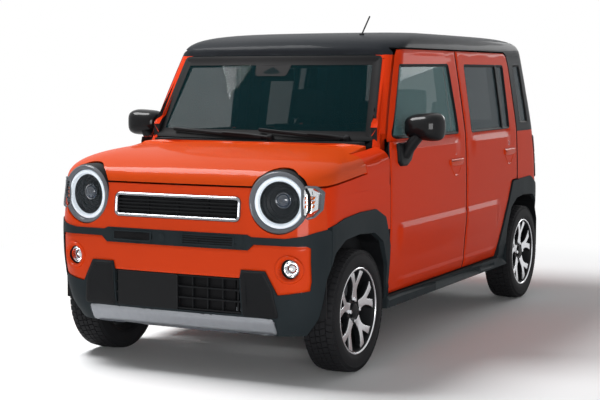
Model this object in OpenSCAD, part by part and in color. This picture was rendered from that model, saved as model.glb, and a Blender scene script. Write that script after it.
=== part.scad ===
// Kei-class tall five-door hatchback with a clamshell bonnet, round headlamps and arch cladding.
// Millimetres. The ground is z = 0, the nose points to -Y and +X is the car's left side.

/* [Overall] */
// Length from nose to tail
body_length = 3395; // [3350:1:3400]
// Width over the arch cladding
body_width = 1475; // [1460:1:1480]
// Height of the roof crown
roof_height = 1625; // [1600:1:1680]
// Distance between the axles
wheelbase = 2460; // [2420:1:2480]
// Nose to front axle
front_overhang = 457; // [450:1:470]
// Distance between the wheel centre planes of one axle
track = 1290; // [1270:1:1295]

/* [Wheels] */
// Outer radius of the tyre
tyre_radius = 289.5; // [280:0.5:292]
// Section width of the tyre
tyre_width = 165; // [155:1:170]
// Bead seat radius of the rim
rim_radius = 190.5; // [188:0.5:195]
// Number of Y spokes
spoke_count = 5; // [4:1:6]
// Radius of the hub spindle
spindle_radius = 30; // [26:1:32]
// Distance of the steering axis from the middle plane
kingpin_x = 600; // [590:1:605]

/* [Body heights] */
// Lower edge of the body shell
sill_z = 215; // [205:1:225]
// Lower edge of the doors
door_low_z = 312; // [305:1:320]
// Window sill line
belt_z = 1060; // [1050:1:1070]
// Upper edge of the windscreen
header_z = 1487; // [1480:1:1495]
// Upper edge of the doors
door_top_z = 1521; // [1515:1:1526]
// Shut line of the bonnet over the grille
bonnet_z = 886; // [880:1:892]

/* [Body sections] */
// Cladding stands this proud of the painted panels
cladding_proud = 7; // [4:1:9]
// Thickness of the doors and of the lower walls
wall = 50; // [46:1:56]
// Thickness of the window frames and pillars
frame_wall = 40; // [34:1:44]
// Thickness of the roof with its lining
roof_wall = 32; // [25:1:40]
// Thickness of the bonnet
bonnet_wall = 24; // [18:1:30]
// Thickness of bumper and fender skins with their backing
skin_wall = 36; // [32:1:40]
// Thickness of the window glass
glass = 5; // [4:0.5:6]
// Glass lies this far under the outer skin
glass_inset = 9; // [6:1:12]
// Gap round the moving panels
panel_gap = 9; // [8:0.5:11]

/* [Doors] */
// Front door's leading edge
door_front_y = -883; // [-890:1:-876]
// Seam between front and rear door
door_mid_y = 178; // [165:1:190]
// Rear door's trailing edge
door_rear_y = 1086; // [1075:1:1095]
// Hinge axis this far under the outer skin
hinge_depth = 15; // [14:1:18]
// Hinge axis this far behind a door's leading edge
hinge_back = 50; // [46:1:56]
// Radius of a door hinge pin
hinge_pin_r = 5; // [4:0.5:5.5]

/* [Front] */
// Headlamp bezel radius
lamp_radius = 140; // [134:1:142]
// Headlamp centre from the middle plane
lamp_x = 517; // [510:1:522]
// Headlamp centre height
lamp_z = 820; // [814:1:826]
// Lamps are turned outwards by this angle
lamp_toe = 9; // [6:1:12]
// Half length of the grille
grille_half = 338; // [325:1:345]
// Lower and upper edge of the grille
grille_low_z = 727; // [722:1:732]
grille_top_z = 841; // [836:1:846]
// Fog lamp centre from the middle plane
fog_x = 578; // [572:1:584]
// Fog lamp centre height
fog_z = 527; // [522:1:532]

/* [Hidden] */
$fn = 24;

nose = -body_length / 2;
tail = body_length / 2;
half = body_width / 2 - cladding_proud;
front_axle = nose + front_overhang;
rear_axle = front_axle + wheelbase;
seam = 0.15;          // fixed panels stop this far short of their seam
far = 3000;           // longer than any cut
LEFT = 1;
RIGHT = -1;

ORANGE = "orangered";
BLACK = "dimgray";
DARK = [0.13, 0.13, 0.14];

// Plan sections

// Lower body: share of the height from sill to belt, side inset, nose inset, tail inset, front radius, rear radius
LOWER = [
  [0.00, 62, 58, 58, 215, 270],
  [0.11, 25, 24, 22, 205, 270],
  [0.28, 9, 8, 6, 185, 270],
  [0.41, 3, 5, 2, 180, 270],
  [0.53, 0, 8, 5, 180, 270],
  [0.65, 0, 14, 14, 190, 270],
  [0.76, 1, 26, 26, 200, 270],
  [0.85, 3, 48, 38, 200, 270],
  [1.00, 9, 97, 62, 200, 270]];
nose_bow = 16;
tail_bow = 20;
side_bow = 7;

// Cabin: share of the height from belt to header, side inset, windscreen y from the nose, tail inset,
// front radius, rear radius, windscreen bow
CABIN = [
  [0.00, 9, 742, 62, 130, 270, 84],
  [0.25, 24, 803, 78, 120, 262, 78],
  [0.50, 41, 868, 96, 110, 252, 72],
  [0.75, 58, 934, 116, 105, 240, 66],
  [1.00, 76, 1001, 138, 100, 225, 60]];
// Contours of a dome: share of its height
DOME = [0.35, 0.62, 0.82, 0.93, 0.985];

// A plan section: z, half width, front y, rear y, front radius, rear radius, front bow, rear bow
function lower_rows() = [for (r = LOWER)
  [sill_z + r[0] * (belt_z - sill_z), half - r[1], nose + r[2], tail - r[3], r[4], r[5], nose_bow, tail_bow]];

function cabin_rows() = [for (r = CABIN)
  [belt_z + r[0] * (header_z - belt_z), half - r[1], nose + r[2], tail - r[3], r[4], r[5], r[6], tail_bow]];

// Roof: contours of a dome whose outline shrinks by a superellipse
roof_exp_x = 4.6;
roof_exp_front = 2.9;
roof_exp_rear = 4.5;
roof_side_lean = 14;
roof_mid_y = (cabin_rows()[len(CABIN) - 1][2] + cabin_rows()[len(CABIN) - 1][3]) / 2 + 60;
function roof_rows(low = 0) = let (
    e = cabin_rows()[len(CABIN) - 1],
    rise = roof_height - header_z)
  [for (k = DOME) let (sx = super(k, roof_exp_x))
    [header_z + k * rise - low, (e[1] - roof_side_lean * k) * sx,
     roof_mid_y + (e[2] - roof_mid_y) * super(k, roof_exp_front), roof_mid_y + (e[3] - roof_mid_y) * super(k, roof_exp_rear),
     e[4] + 120 * k, e[5] + 60 * k, e[6] * sx, e[7]]];
// Roof height over the middle line behind its highest point
function roof_z(y) = let (e = cabin_rows()[len(CABIN) - 1], u = (y - roof_mid_y) / (e[3] - roof_mid_y))
  header_z + (roof_height - header_z) * super(u, roof_exp_rear);

// Bonnet: contours from its side shut line up to the crown, the rear edge stays at the cowl
bonnet_exp_front = 3.6;
bonnet_exp_rear = 7;
bonnet_exp_y = 2.5;
bonnet_crown_z = 1056;
bonnet_rear_y = nose + 727;
bonnet_peak_y = bonnet_rear_y + 190;
bonnet_side_front_z = 893;
bonnet_side_rear_z = 932;
function super(k, n) = pow(1 - pow(k, n), 1 / n);
function bonnet_rows(low = 0, t = 0, rear = bonnet_rear_y) = let (w = half - 2, f = nose + 30)
  concat([for (z = [bonnet_z - 40, bonnet_z])
      [z, w - t, f + t, rear + t, 185 - t, 5, nose_bow, 0, w - t]],
    [for (k = DOME) let (sy = super(k, bonnet_exp_y))
      [bonnet_z + k * (bonnet_crown_z - bonnet_z) - low, (w - t) * super(k, bonnet_exp_front),
       bonnet_peak_y + (f + t - bonnet_peak_y) * sy, rear + t, 185 + 60 * k, 5, nose_bow + 20 * k, 0,
       (w - t) * super(k, bonnet_exp_rear)]]);

function arc(c, r, a0, a1, n) = [for (i = [0:n]) let (a = a0 + (a1 - a0) * i / n) c + r * [cos(a), sin(a)]];
function flip(pts) = [for (i = [len(pts) - 1:-1:0]) [-pts[i][0], pts[i][1]]];

// One side of a plan section from the front middle to the rear middle, inset by t
function half_plan(r, t) = let (
    w = r[1] - t, f = r[2] + t, b = r[3] - t,
    rr = max(r[5] - t, 4), rf = min(max(r[4] - t, 8), max(b - f - r[6] - 10, 8)),
    af = atan(2 * r[6] / (w - rf)), xf = w - rf + rf * sin(af),
    ar = atan(2 * r[7] / (w - rr)), xr = w - rr + rr * sin(ar),
    yf = f + r[6], yr = b - r[7], n = 4, bow_n = 3,
    wr = len(r) > 8 ? r[8] - t : w, ends = xr + wr - w,
    cf = [w - rf, yf + rf * cos(af)], cr = [wr - rr, yr - rr * cos(ar)])
  concat(
    [for (i = [0:bow_n - 1]) let (u = i / bow_n) [xf * u, f + r[6] * u * u]],
    [for (p = arc(cf, rf, -90 + af, 0, n)) p - [side_bow * (p[0] - xf) / (w - xf + 1), 0]],
    [[(w + wr) / 2, (cf[1] + cr[1]) / 2]],
    [for (p = arc(cr, rr, 0, 90 - ar, n)) p - [side_bow * (p[0] - ends) / (wr - ends + 1), 0]],
    [for (i = [bow_n - 1:-1:0]) let (u = i / bow_n) [ends * u, b - r[7] * u * u]]);

function plan(r, t) = let (h = half_plan(r, t)) concat(h, [for (i = [len(h) - 2:-1:1]) [-h[i][0], h[i][1]]]);

// Convex band between two plan sections, and a stack of such bands
module band(a, b, t) {
  pa = plan(a, t);
  pb = plan(b, t);
  n = len(pa);
  hull() polyhedron(
    concat([for (p = pa) [p[0], p[1], a[0]]], [for (p = pb) [p[0], p[1], b[0]]]),
    concat([[for (i = [0:n - 1]) i]], [[for (i = [n - 1:-1:0]) n + i]],
      [for (i = [0:n - 1]) [i, n + i, n + (i + 1) % n, (i + 1) % n]]));
}
module loft(rows, t) for (i = [0:len(rows) - 2]) band(rows[i], rows[i + 1], t);
// Foot of the windscreen pillars: the cabin's lowest section carried down into the fenders
cowl_drop = 130;
function cowl_rows() = let (c = cabin_rows())
  concat([[belt_z - cowl_drop, half - 3, c[0][2] - 66, c[0][3], c[0][4] + 10, c[0][5], c[0][6], c[0][7]]], [c[0], c[1]]);
module cowl_shell(t) difference() {
  union() {
    loft(bonnet_rows(0, 0, door_front_y + 60), 0);
    loft(cowl_rows(), 0);
  }
  loft(concat([at_z(bonnet_rows(0, t)[0], 700)], bonnet_rows(t, t, door_front_y + 60)), 0);
  loft(concat([at_z(cowl_rows()[0], belt_z - cowl_drop - 10)], cowl_rows(), [at_z(last(cowl_rows()), belt_z + 300)]), t);
}
// The same section moved to another height
function at_z(r, z) = concat([z], [for (i = [1:len(r) - 1]) r[i]]);
function last(v) = v[len(v) - 1];

// Wall of the lower body between two insets: the inside of a full wall takes fewer sections
INNER_LOWER = [0, 1, 2, 4, 6, 8];
INNER_CABIN = [0, 2, 4];
function sections(rows, t, inner) = t < skin_wall ? rows : [for (i = inner) rows[i]];
module lower_shell(t0, t1) {
  rows = lower_rows();
  inside = sections(rows, t1, INNER_LOWER);
  difference() {
    loft(rows, t0);
    loft(concat([at_z(rows[0], rows[0][0] - 5)], inside, [at_z(last(rows), last(rows)[0] + 5)]), t1);
  }
}
// Wall of the cabin between two insets, its roof included
module cabin_shell(t0, t1, low0, low1) {
  rows = cabin_rows();
  inside = sections(rows, t1, INNER_CABIN);
  difference() {
    loft(concat(rows, roof_rows(low0)), t0);
    loft(concat([at_z(rows[0], rows[0][0] - 5)], inside, roof_rows(low1)), t1);
  }
}
module side_wall(t = 0) {
  lower_shell(t, wall);
  cabin_shell(t, frame_wall, t, roof_wall);
}

// Side view outlines are [y, z] and are cut along X, front view outlines are [x, z] and are cut along Y
module side_prism(side = LEFT, inner = 150) {
  x0 = side == LEFT ? inner : -far / 2;
  translate([x0, 0, 0]) rotate([90, 0, 90]) linear_extrude(far / 2 - inner) children();
}
module across_prism() translate([-far / 2, 0, 0]) rotate([90, 0, 90]) linear_extrude(far) children();
module front_prism(y0, y1) translate([0, y1, 0]) rotate([90, 0, 0]) linear_extrude(y1 - y0) children();
module rounded(r) offset(r = r, $fn = 16) offset(delta = -r) children();
module both_sides() { children(); mirror([1, 0, 0]) children(); }
module box(x, y, z) translate([x[0], y[0], z[0]]) cube([x[1] - x[0], y[1] - y[0], z[1] - z[0]]);

// Half width of the outer skin at height z on the side
function skin_x(z) = let (rows = concat(lower_rows(), [for (i = [1:len(CABIN) - 1]) cabin_rows()[i]]))
  lookup(z, [for (r = rows) [r[0], r[1]]]);

// Outlines in the side view

pillar_y = door_front_y + 243;              // upper front corner of the front door
pillar_low_z = belt_z + 40;
arch_top = 752;
arch_outer_front = [[-365, 150], [-365, 640], [-345, 700], [-170, 738], [0, arch_top], [175, arch_top],
  [290, 705], [352, 560], [front_overhang_door(), 150]];
function front_overhang_door() = door_front_y - front_axle - 3;
arch_inner = [[-318, 0], [-318, 470], [-262, 590], [-160, 640], [0, 652], [160, 640], [262, 590], [322, 470], [322, 0]];
arch_outer_rear = [[-488, 150], [-488, door_low_z], [-350, 560], [-242, 738], [-228, arch_top], [120, arch_top + 6],
  [250, 700], [330, 560], [345, 150]];

module at_axle(y) translate([y, 0]) children();
module front_arch_outer() at_axle(front_axle) rounded(20) polygon(arch_outer_front);
module rear_arch_outer() at_axle(rear_axle) rounded(20) polygon(arch_outer_rear);
module arch_opening(y) at_axle(y) rounded(40) polygon(arch_inner);

module front_door_outline() difference() {
  rounded(12) polygon([[door_front_y, door_low_z], [door_front_y, pillar_low_z - 60], [door_front_y + 14, pillar_low_z],
    [pillar_y - 14, header_z - 8], [pillar_y + 40, door_top_z - 6], [pillar_y + 120, door_top_z],
    [door_mid_y, door_top_z], [door_mid_y, door_low_z]]);
  front_arch_outer();
}
module rear_door_outline() difference() {
  rounded(12) polygon([[door_mid_y + 1, door_low_z], [door_mid_y + 1, door_top_z], [door_rear_y - 70, door_top_z],
    [door_rear_y - 22, door_top_z - 20], [door_rear_y - 4, door_top_z - 90], [door_rear_y, belt_z],
    [door_rear_y, 640], [door_rear_y - 200, door_low_z]]);
  rear_arch_outer();
}
window_low_z = belt_z + 6;
window_top_z = door_top_z - 74;
module front_window_outline() rounded(24) polygon([[door_front_y + 76, window_low_z + 6],
  [pillar_y + 40, window_top_z - 6], [door_mid_y - 125, window_top_z], [door_mid_y - 98, window_low_z]]);
window_bar = 16;
module rear_window_outline() difference() {
  rounded(22) polygon([[door_mid_y + 92, window_low_z], [door_mid_y + 108, window_top_z],
    [door_rear_y - 112, window_top_z], [door_rear_y - 138, window_low_z]]);
  translate([door_rear_y - 285, window_low_z - 60]) rotate(-2) square([window_bar, 600]);
}
module quarter_window_outline() rounded(20) polygon([[door_rear_y + 66, window_low_z + 26], [door_rear_y + 78, window_top_z + 4],
  [door_rear_y + 212, window_top_z + 4], [door_rear_y + 236, window_low_z + 22]]);

rear_pillar_z = belt_z - 14;               // seam between painted quarter and dark pillar
fender_seam_y = front_axle - 312;          // bumper meets fender
// Outer edge of the windscreen pillars in the front view, the doors begin here
pillar_width = 58;
module outside_pillar_2d(grow) polygon([[post_x + 2, -10], [post_x + 2, belt_z - 70],
  [windscreen_low_half + pillar_width - grow, belt_z - 14], [windscreen_top_half + pillar_width - grow, header_z],
  [windscreen_top_half + pillar_width - 20 - grow, header_z + 200], [far / 2, header_z + 200], [far / 2, -10]]);
module front_door_zone(grow) intersection() {
  side_prism() offset(delta = grow) front_door_outline();
  front_prism(nose, tail) outside_pillar_2d(grow);
}
module roof_outline() polygon([[nose, header_z], [pillar_y + 36, header_z], [pillar_y + 36, door_top_z],
  [door_rear_y - 62, door_top_z], [door_rear_y - 14, door_top_z - 16], [tail, door_top_z - 16],
  [tail, roof_height + 50], [nose, roof_height + 50]]);
module bonnet_side_outline() polygon([[nose - 100, bonnet_z], [fender_seam_y, bonnet_side_front_z],
  [bonnet_side_rear_y, bonnet_side_rear_z], [bonnet_side_rear_y, belt_z + 90], [nose - 100, belt_z + 90]]);
bonnet_side_rear_y = door_front_y - 285;

tailgate_low_z = 600;
tailgate_half = half - 118;
tailgate_top_half = half - 186;
tailgate_hinge_y = tail - 205;
module tailgate_outline(grow = 0) offset(delta = grow) rounded(45) polygon([[-tailgate_half, tailgate_low_z],
  [-tailgate_half, belt_z], [-tailgate_top_half, door_top_z + 10], [-tailgate_top_half + 70, roof_height + 80],
  [tailgate_top_half - 70, roof_height + 80], [tailgate_top_half, door_top_z + 10], [tailgate_half, belt_z],
  [tailgate_half, tailgate_low_z]]);
tailgate_cut_y = tail - 262;               // seam between roof and tailgate
module tailgate_zone(grow = 0) intersection() {
  front_prism(tail - 420, tail + 100) tailgate_outline(grow);
  across_prism() polygon([[tailgate_cut_y - grow, 2000], [tailgate_cut_y - grow, door_top_z - 30], [tail - 300 - grow, door_top_z - 160],
    [tail - 300 - grow, 0], [tail + 200, 0], [tail + 200, 2000]]);
}
module rear_window_2d() rounded(45) polygon([[-tailgate_half + 62, belt_z + 20], [-tailgate_top_half + 48, door_top_z - 40],
  [tailgate_top_half - 48, door_top_z - 40], [tailgate_half - 62, belt_z + 20]]);

windscreen_low_half = half - 108.5;
windscreen_top_half = half - 168.5;
module windscreen_2d(grow = 0) offset(delta = grow) rounded(40) polygon([[-windscreen_low_half, belt_z - 14],
  [-windscreen_top_half, header_z], [windscreen_top_half, header_z], [windscreen_low_half, belt_z - 14]]);

// Outlines in the front view

band_low_z = 631;
band_top_z = 664;
slot_half = half - 338.5;
slot_low_z = 604;
slot_top_z = 674;
skirt_z = 476;            // painted bumper ends here in the middle
upright_in = half - 392.5;
upright_out = half - 266.5;
upright_top_z = 514;
corner_x = half - 62.5;           // painted bumper ends here at the corner
module lower_paint_2d() {
  side = [[0, skirt_z], [upright_in, skirt_z], [upright_in + 8, upright_top_z], [upright_out, upright_top_z],
    [upright_out + 58, 408], [corner_x - 8, 430], [corner_x, 470], [corner_x, band_low_z - 8], [corner_x - 16, band_low_z],
    [slot_half + 16, band_low_z], [slot_half - 14, slot_low_z], [0, slot_low_z]];
  rounded(7) union() { polygon(side); mirror([1, 0]) polygon(side); }
}
module upper_paint_2d() {
  side = [[0, slot_top_z], [slot_half - 18, slot_top_z], [slot_half + 4, band_top_z], [corner_x - 108, band_top_z],
    [corner_x - 28, band_top_z + 12], [corner_x + 32, band_top_z + 34], [corner_x + 232, band_top_z + 90],
    [corner_x + 232, bonnet_z + 60], [0, bonnet_z + 60]];
  union() { polygon(side); mirror([1, 0]) polygon(side); }
}
module grille_2d(grow = 0) offset(delta = grow) rounded(26)
  translate([-grille_half, grille_low_z]) square([2 * grille_half, grille_top_z - grille_low_z]);
module lower_grille_2d() translate([-upright_in, lower_grille_z]) square([2 * upright_in, skirt_z - lower_grille_z]);
lower_grille_z = 308;
module lamp_hole(r) at_lamp() translate([0, 0, -120]) cylinder(r = r, h = 420, $fn = 40);
lamp_y = nose + 58;
lamp_clearance = 0.7;
module at_lamp() translate([lamp_x, lamp_y, lamp_z]) rotate([0, 0, lamp_toe]) rotate([90, 0, 0]) children();
ear_low_z = 776;
ear_top_z = 888;
ear_end_x = half - 42.5;
module ear_2d(grow = 0) offset(delta = grow) rounded(18) polygon([[lamp_x, ear_low_z + 8], [lamp_x, ear_top_z],
  [ear_end_x - 40, ear_top_z], [ear_end_x, ear_top_z - 26], [ear_end_x, ear_low_z + 20], [ear_end_x - 30, ear_low_z]]);
fog_hole_r = 46;
module fog_hole(r) translate([fog_x, nose + 220, fog_z]) rotate([90, 0, 0]) cylinder(r = r, h = 300, $fn = 24);

// Body shell

module fixed() offset(delta = -seam) children();
module moving() offset(delta = -panel_gap / 2) children();

// Painted body side: windscreen pillar, sill beam, middle post, roof rail and rear quarter in one pressing
post_x = half - wall - 35;                 // outer face of the frame behind the doors
post_in = post_x - 60;
rail_z = header_z - 17;
module body_side_left() color(ORANGE) {
  difference() {
    union() {
      intersection() {
        cabin_shell(0, frame_wall, 0, roof_wall);
        side_prism() polygon([[nose, pillar_low_z + seam], [door_front_y + 130, pillar_low_z + seam], [pillar_y + 90, header_z - seam],
          [nose, header_z - seam]]);
      }
      intersection() {
        lower_shell(0, wall);
        side_prism() difference() {
          polygon([[door_rear_y - 200, 640], [door_rear_y - 200, rear_pillar_z - seam],
            [tail + 10, rear_pillar_z - seam], [tail + 10, quarter_low_z + seam], [door_rear_y - 200, quarter_low_z + seam]]);
          offset(delta = panel_gap / 2) rear_door_outline();
          offset(delta = seam) rear_arch_outer();
        }
      }
      frame_rails();
    }
    front_door_zone(panel_gap / 2);
    front_prism(nose, pillar_y + 300) windscreen_2d(3 * seam);
    tailgate_zone(panel_gap / 2);
    rear_bumper_middle(seam, 20);
    tail_lamp_block(seam);
  }
}
quarter_low_z = 566;
// Inner frame: hinge post, sill beam, middle post, roof rail and the rear post, seen with the doors open
module frame_rails() {
  low = door_low_z - 50;
  hinge_post = [door_front_y + 18, door_front_y + 108];
  mid_post = [door_mid_y - 30, door_mid_y + 84];
  rear_post = [door_rear_y - 60, door_rear_y + 60];
  lean = half - skin_x(header_z) - 9;
  box([post_in, post_x], [hinge_post[0], rear_axle - 350], [low, low + 100]);
  box([post_in, post_x], hinge_post, [low, pillar_low_z + 30]);
  for (p = [mid_post, rear_post]) {
    box([post_in, post_x], p, [p == rear_post ? 770 : low, belt_z]);
    hull() {
      box([post_in, post_x], p, [belt_z - 1, belt_z]);
      box([post_in - lean + wall - frame_wall, post_x - lean + wall - frame_wall - 4], p, [rail_z - 1, rail_z]);
    }
  }
  hull() {
    box([post_in, post_x], hinge_post, [pillar_low_z + 29, pillar_low_z + 30]);
    box([post_in - lean + 12, post_x - lean + 12], [pillar_y + 10, pillar_y + 80], [rail_z - 1, rail_z]);
  }
  box([post_in - lean + 8, post_x - lean + 14], [pillar_y - 12, door_rear_y + 60], [rail_z - 40, rail_z]);
  box([post_x - 1, half - 40], [door_rear_y + panel_gap, door_rear_y + 60], [790, rear_pillar_z - 12]);
}
module body_sides() { body_side_left(); mirror([1, 0, 0]) body_side_left(); }

// Dark rear pillars round the quarter windows
module rear_pillar_left() color(BLACK) difference() {
  intersection() {
    union() { lower_shell(0, wall); cabin_shell(0, frame_wall, 0, roof_wall); }
    side_prism() difference() {
      polygon([[door_rear_y - 90, rear_pillar_z + seam], [tail + 10, rear_pillar_z + seam], [tail + 10, door_top_z - 16 - seam],
        [door_rear_y - 90, door_top_z - 16 - seam]]);
      offset(delta = panel_gap / 2) rear_door_outline();
    }
  }
  tailgate_zone(panel_gap / 2);
  side_prism() quarter_window_outline();
}
module rear_pillars() { rear_pillar_left(); mirror([1, 0, 0]) rear_pillar_left(); }

module roof() color(BLACK) difference() {
  union() {
    difference() {
      intersection() {
        cabin_shell(0, frame_wall, 0, roof_wall);
        across_prism() fixed() roof_outline();
      }
      // Room for the tailgate's upper edge as it swings in under the roof
      translate([-half, tailgate_pin_y, tailgate_pin_z]) rotate([0, 90, 0])
        cylinder(r = norm([hinge_back, roof_z(tailgate_cut_y) - tailgate_pin_z]) + 6, h = 2 * half, $fn = 48);
    }
    // Blocks that carry the tailgate's hinge arms
    both_sides() intersection() {
      loft(concat(cabin_rows(), roof_rows(10)), 10);
      box([tailgate_pin_x - 18, tailgate_pin_x + 18], [tailgate_cut_y - 62, tailgate_cut_y - 16], [tailgate_pin_z - gooseneck + seam, roof_height]);
    }
  }
  tailgate_zone(panel_gap / 2);
  both_sides() front_door_zone(panel_gap / 2);
  across_prism() offset(delta = panel_gap / 2) rear_door_outline();
  translate([antenna_x, antenna_y, roof_height - 200]) cylinder(r = antenna_base_r + 0.2, h = 400, $fn = 24);
}

module fender_left() color(ORANGE) difference() {
  intersection() {
    union() {
      intersection() {
        lower_shell(0, skin_wall);
        translate([0, nose, 0]) cube([far, body_length, bonnet_side_rear_z]);
      }
      cowl_shell(skin_wall);
    }
    side_prism() fixed() difference() {
      polygon([[fender_seam_y, 640], [fender_seam_y, bonnet_side_front_z], [bonnet_side_rear_y, bonnet_side_rear_z],
        [bonnet_side_rear_y, pillar_low_z], [door_front_y + 130, pillar_low_z], [door_front_y + 130, 640]]);
      front_arch_outer();
      offset(delta = panel_gap - seam) bonnet_side_outline();
    }
    cowl_side_zone();
  }
  front_door_zone(panel_gap / 2);
  box([0, post_x + seam], [door_front_y + 18 - seam, tail], [0, far]);
  // Room for the door's leading edge as it swings in round its hinge
  translate([hinge_x, door_front_y + panel_gap / 2 + hinge_back, 0]) cylinder(r = hinge_back + 8, h = far);
  front_prism(nose - 50, front_axle) ear_2d(seam * 2);
  front_prism(nose, pillar_y + 300) windscreen_2d(3 * seam);
}
// The fenders take the cowl corners outside this line, the bonnet ends short of it
cowl_side_x = half - 98;
module cowl_side_zone() box([cowl_side_x + panel_gap, far], [nose - 100, tail], [0, far]);
module fenders() { fender_left(); mirror([1, 0, 0]) fender_left(); }

// Painted bumper: a full backing layer with the painted fields standing out of it
backing = 24;
module front_bumper() color(ORANGE) difference() {
  union() {
    intersection() {
      lower_shell(backing + seam, skin_wall);
      front_prism(nose - 50, fender_seam_y - seam) translate([-far / 2, lower_grille_z]) square([far, bonnet_z - panel_gap - lower_grille_z]);
      across_prism() polygon([[nose - 100, 0], [fender_seam_y - seam, 0], [fender_seam_y - seam, bonnet_side_front_z - panel_gap],
        [nose - 100, bonnet_z - panel_gap]]);
    }
    intersection() {
      lower_shell(0, backing + 1);
      front_prism(nose - 50, fender_seam_y - seam) fixed() { lower_paint_2d(); upper_paint_2d(); }
      across_prism() polygon([[nose - 100, 0], [fender_seam_y - seam, 0], [fender_seam_y - seam, bonnet_side_front_z - panel_gap],
        [nose - 100, bonnet_z - panel_gap]]);
    }
  }
  both_sides() {
    lamp_hole(lamp_radius + lamp_clearance);
    fog_hole(fog_hole_r + 0.3);
    front_prism(nose - 50, fender_seam_y + 1) ear_2d(seam * 2);
    across_prism() arch_opening(front_axle);
  }
  front_prism(nose - 50, nose + 300) grille_2d(seam * 2);
  front_prism(nose - 50, nose + 300) lower_grille_2d();
}

// Unpainted lower face of the bumper with its uprights, the band below the lamps and the corners to the arches
module bumper_cladding() color(BLACK) difference() {
  intersection() {
    lower_shell(-cladding_proud + 1, backing);
    across_prism() fixed() difference() {
      polygon([[nose - 100, sill_z], [front_axle - 290, sill_z], [front_axle - 290, 690], [fender_seam_y, 700],
        [nose - 100, slot_top_z]]);
      arch_opening(front_axle);
    }
    front_prism(nose - 50, front_axle) difference() {
      translate([-far / 2, 0]) square([far, 720]);
      offset(delta = seam) { lower_paint_2d(); upper_paint_2d(); }
    }
  }
  front_prism(nose - 50, nose + 300) lower_grille_2d();
  front_prism(nose - 50, nose + 300) skid_2d(seam);
  front_prism(nose - 50, nose + 22) for (s = [LEFT, RIGHT]) translate([s * 225 - 100, slot_low_z + 22]) square([200, 26]);
  side_prism() offset(delta = seam) front_arch_cut();
  side_prism(RIGHT) offset(delta = seam) front_arch_cut();
}
module front_arch_cut() intersection() {
  front_arch_outer();
  translate([front_axle - 290, 0]) square([1000, 2000]);
}

skid_half = half - 230.5;
skid_z = 256;
skid_height = 80;
skid_proud = 16;
module skid_2d(grow) offset(delta = grow) rounded(18) translate([-skid_half, skid_z - skid_height / 2]) square([2 * skid_half, skid_height]);
// Bright bar that stands out of the cladding and follows its curve
module skid_bar() color("silver") intersection() {
  lower_shell(-skid_proud, backing - 4);
  front_prism(nose - 50, nose + 300) skid_2d(0);
  translate([-far / 2, nose, 0]) cube([far, 300, far]);
}
grille_depth = 34;
module grille_frame() color("silver") front_prism(nose + 8, nose + 8 + grille_depth) difference() {
  grille_2d();
  offset(delta = -17) grille_2d();
}
slat = 7;
upper_slats = 4;
lower_slats = 3;
module grille_slats() color(DARK) {
  low = grille_low_z + 17 + seam;
  top = grille_top_z - 17 - seam;
  span = grille_half - 17 - seam;
  // Upper bars on two rear posts
  for (i = [1:upper_slats]) let (z = low + (top - low) * i / (upper_slats + 1))
    box([-span + 1, span - 1], [nose + 18, nose + 38], [z - slat / 2, z + slat / 2]);
  for (x = [-span * 0.5, 0, span * 0.5])
    box([x - 6, x + 6], [nose + 30, nose + 40], [low, top]);
  // Lower bars between the uprights
  for (i = [0:lower_slats]) let (z = lower_grille_z + 8 + (skirt_z - lower_grille_z - 16) * i / lower_slats)
    box([-upright_in + seam, upright_in - seam], [nose + 20, nose + 44], [z - slat / 2, z + slat / 2]);
  for (i = [-4:4])
    box([i * 80 - 4, i * 80 + 4], [nose + 28, nose + 44], [lower_grille_z + 8, skirt_z - 8]);
}

plate_size = [330, 165];
plate_centre = [-158, 391];
plate_holes = 210;
plate_hole_r = 3.5;
module number_plate() color(DARK) difference() {
  box([plate_centre[0] - plate_size[0] / 2, plate_centre[0] + plate_size[0] / 2], [nose + 15, nose + 20 - seam],
    [plate_centre[1] - plate_size[1] / 2, plate_centre[1] + plate_size[1] / 2]);
  for (s = [LEFT, RIGHT]) translate([plate_centre[0] + s * plate_holes / 2, nose, plate_centre[1] + plate_size[1] / 2 - 17])
    rotate([-90, 0, 0]) cylinder(r = plate_hole_r, h = 60);
}

// Round headlamp: stepped bezel, reflector bowl and projector, turned about the lamp axis
lamp_ring_r = 111;
lamp_bowl_r = 92;
lamp_lens_r = 33;
module headlamp_left() color("gainsboro") at_lamp() {
  rotate_extrude($fn = 64) polygon([[0, -70], [lamp_radius - 30, -70], [lamp_radius - 4, -20], [lamp_radius, 12],
    [lamp_radius - 4, 22], [lamp_ring_r + 6, 4], [lamp_ring_r, 4], [lamp_ring_r - 4, 12], [lamp_bowl_r, 8],
    [lamp_bowl_r - 14, -24], [lamp_lens_r + 8, -44], [0, -44]]);
  translate([0, 0, -44]) cylinder(r = lamp_lens_r + 4, h = 22);
  translate([0, 0, -22]) cylinder(r1 = lamp_lens_r + 4, r2 = lamp_lens_r - 6, h = 14);
}
module headlamps() { headlamp_left(); mirror([1, 0, 0]) headlamp_left(); }

// Turn lamps: the ears that run from the headlamps round the corners
module turn_lamp_left() color("gainsboro") difference() {
  intersection() {
    lower_shell(-5, 40);
    front_prism(nose - 50, front_axle) ear_2d();
    translate([0, nose - 50, 0]) cube([far, front_axle - 200 - nose, far]);
  }
  lamp_hole(lamp_radius + lamp_clearance);
}
module turn_lamps() { turn_lamp_left(); mirror([1, 0, 0]) turn_lamp_left(); }

module fog_lamp_left() color("gainsboro") translate([fog_x, nose + 70, fog_z]) rotate([90, 0, 0])
  rotate_extrude($fn = 40) polygon([[0, -30], [fog_hole_r - 0.3, -30], [fog_hole_r - 0.3, 30], [fog_hole_r - 8, 34],
    [fog_hole_r - 12, 8], [26, 0], [14, 12], [0, 15]]);
module fog_lamps() { fog_lamp_left(); mirror([1, 0, 0]) fog_lamp_left(); }

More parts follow.
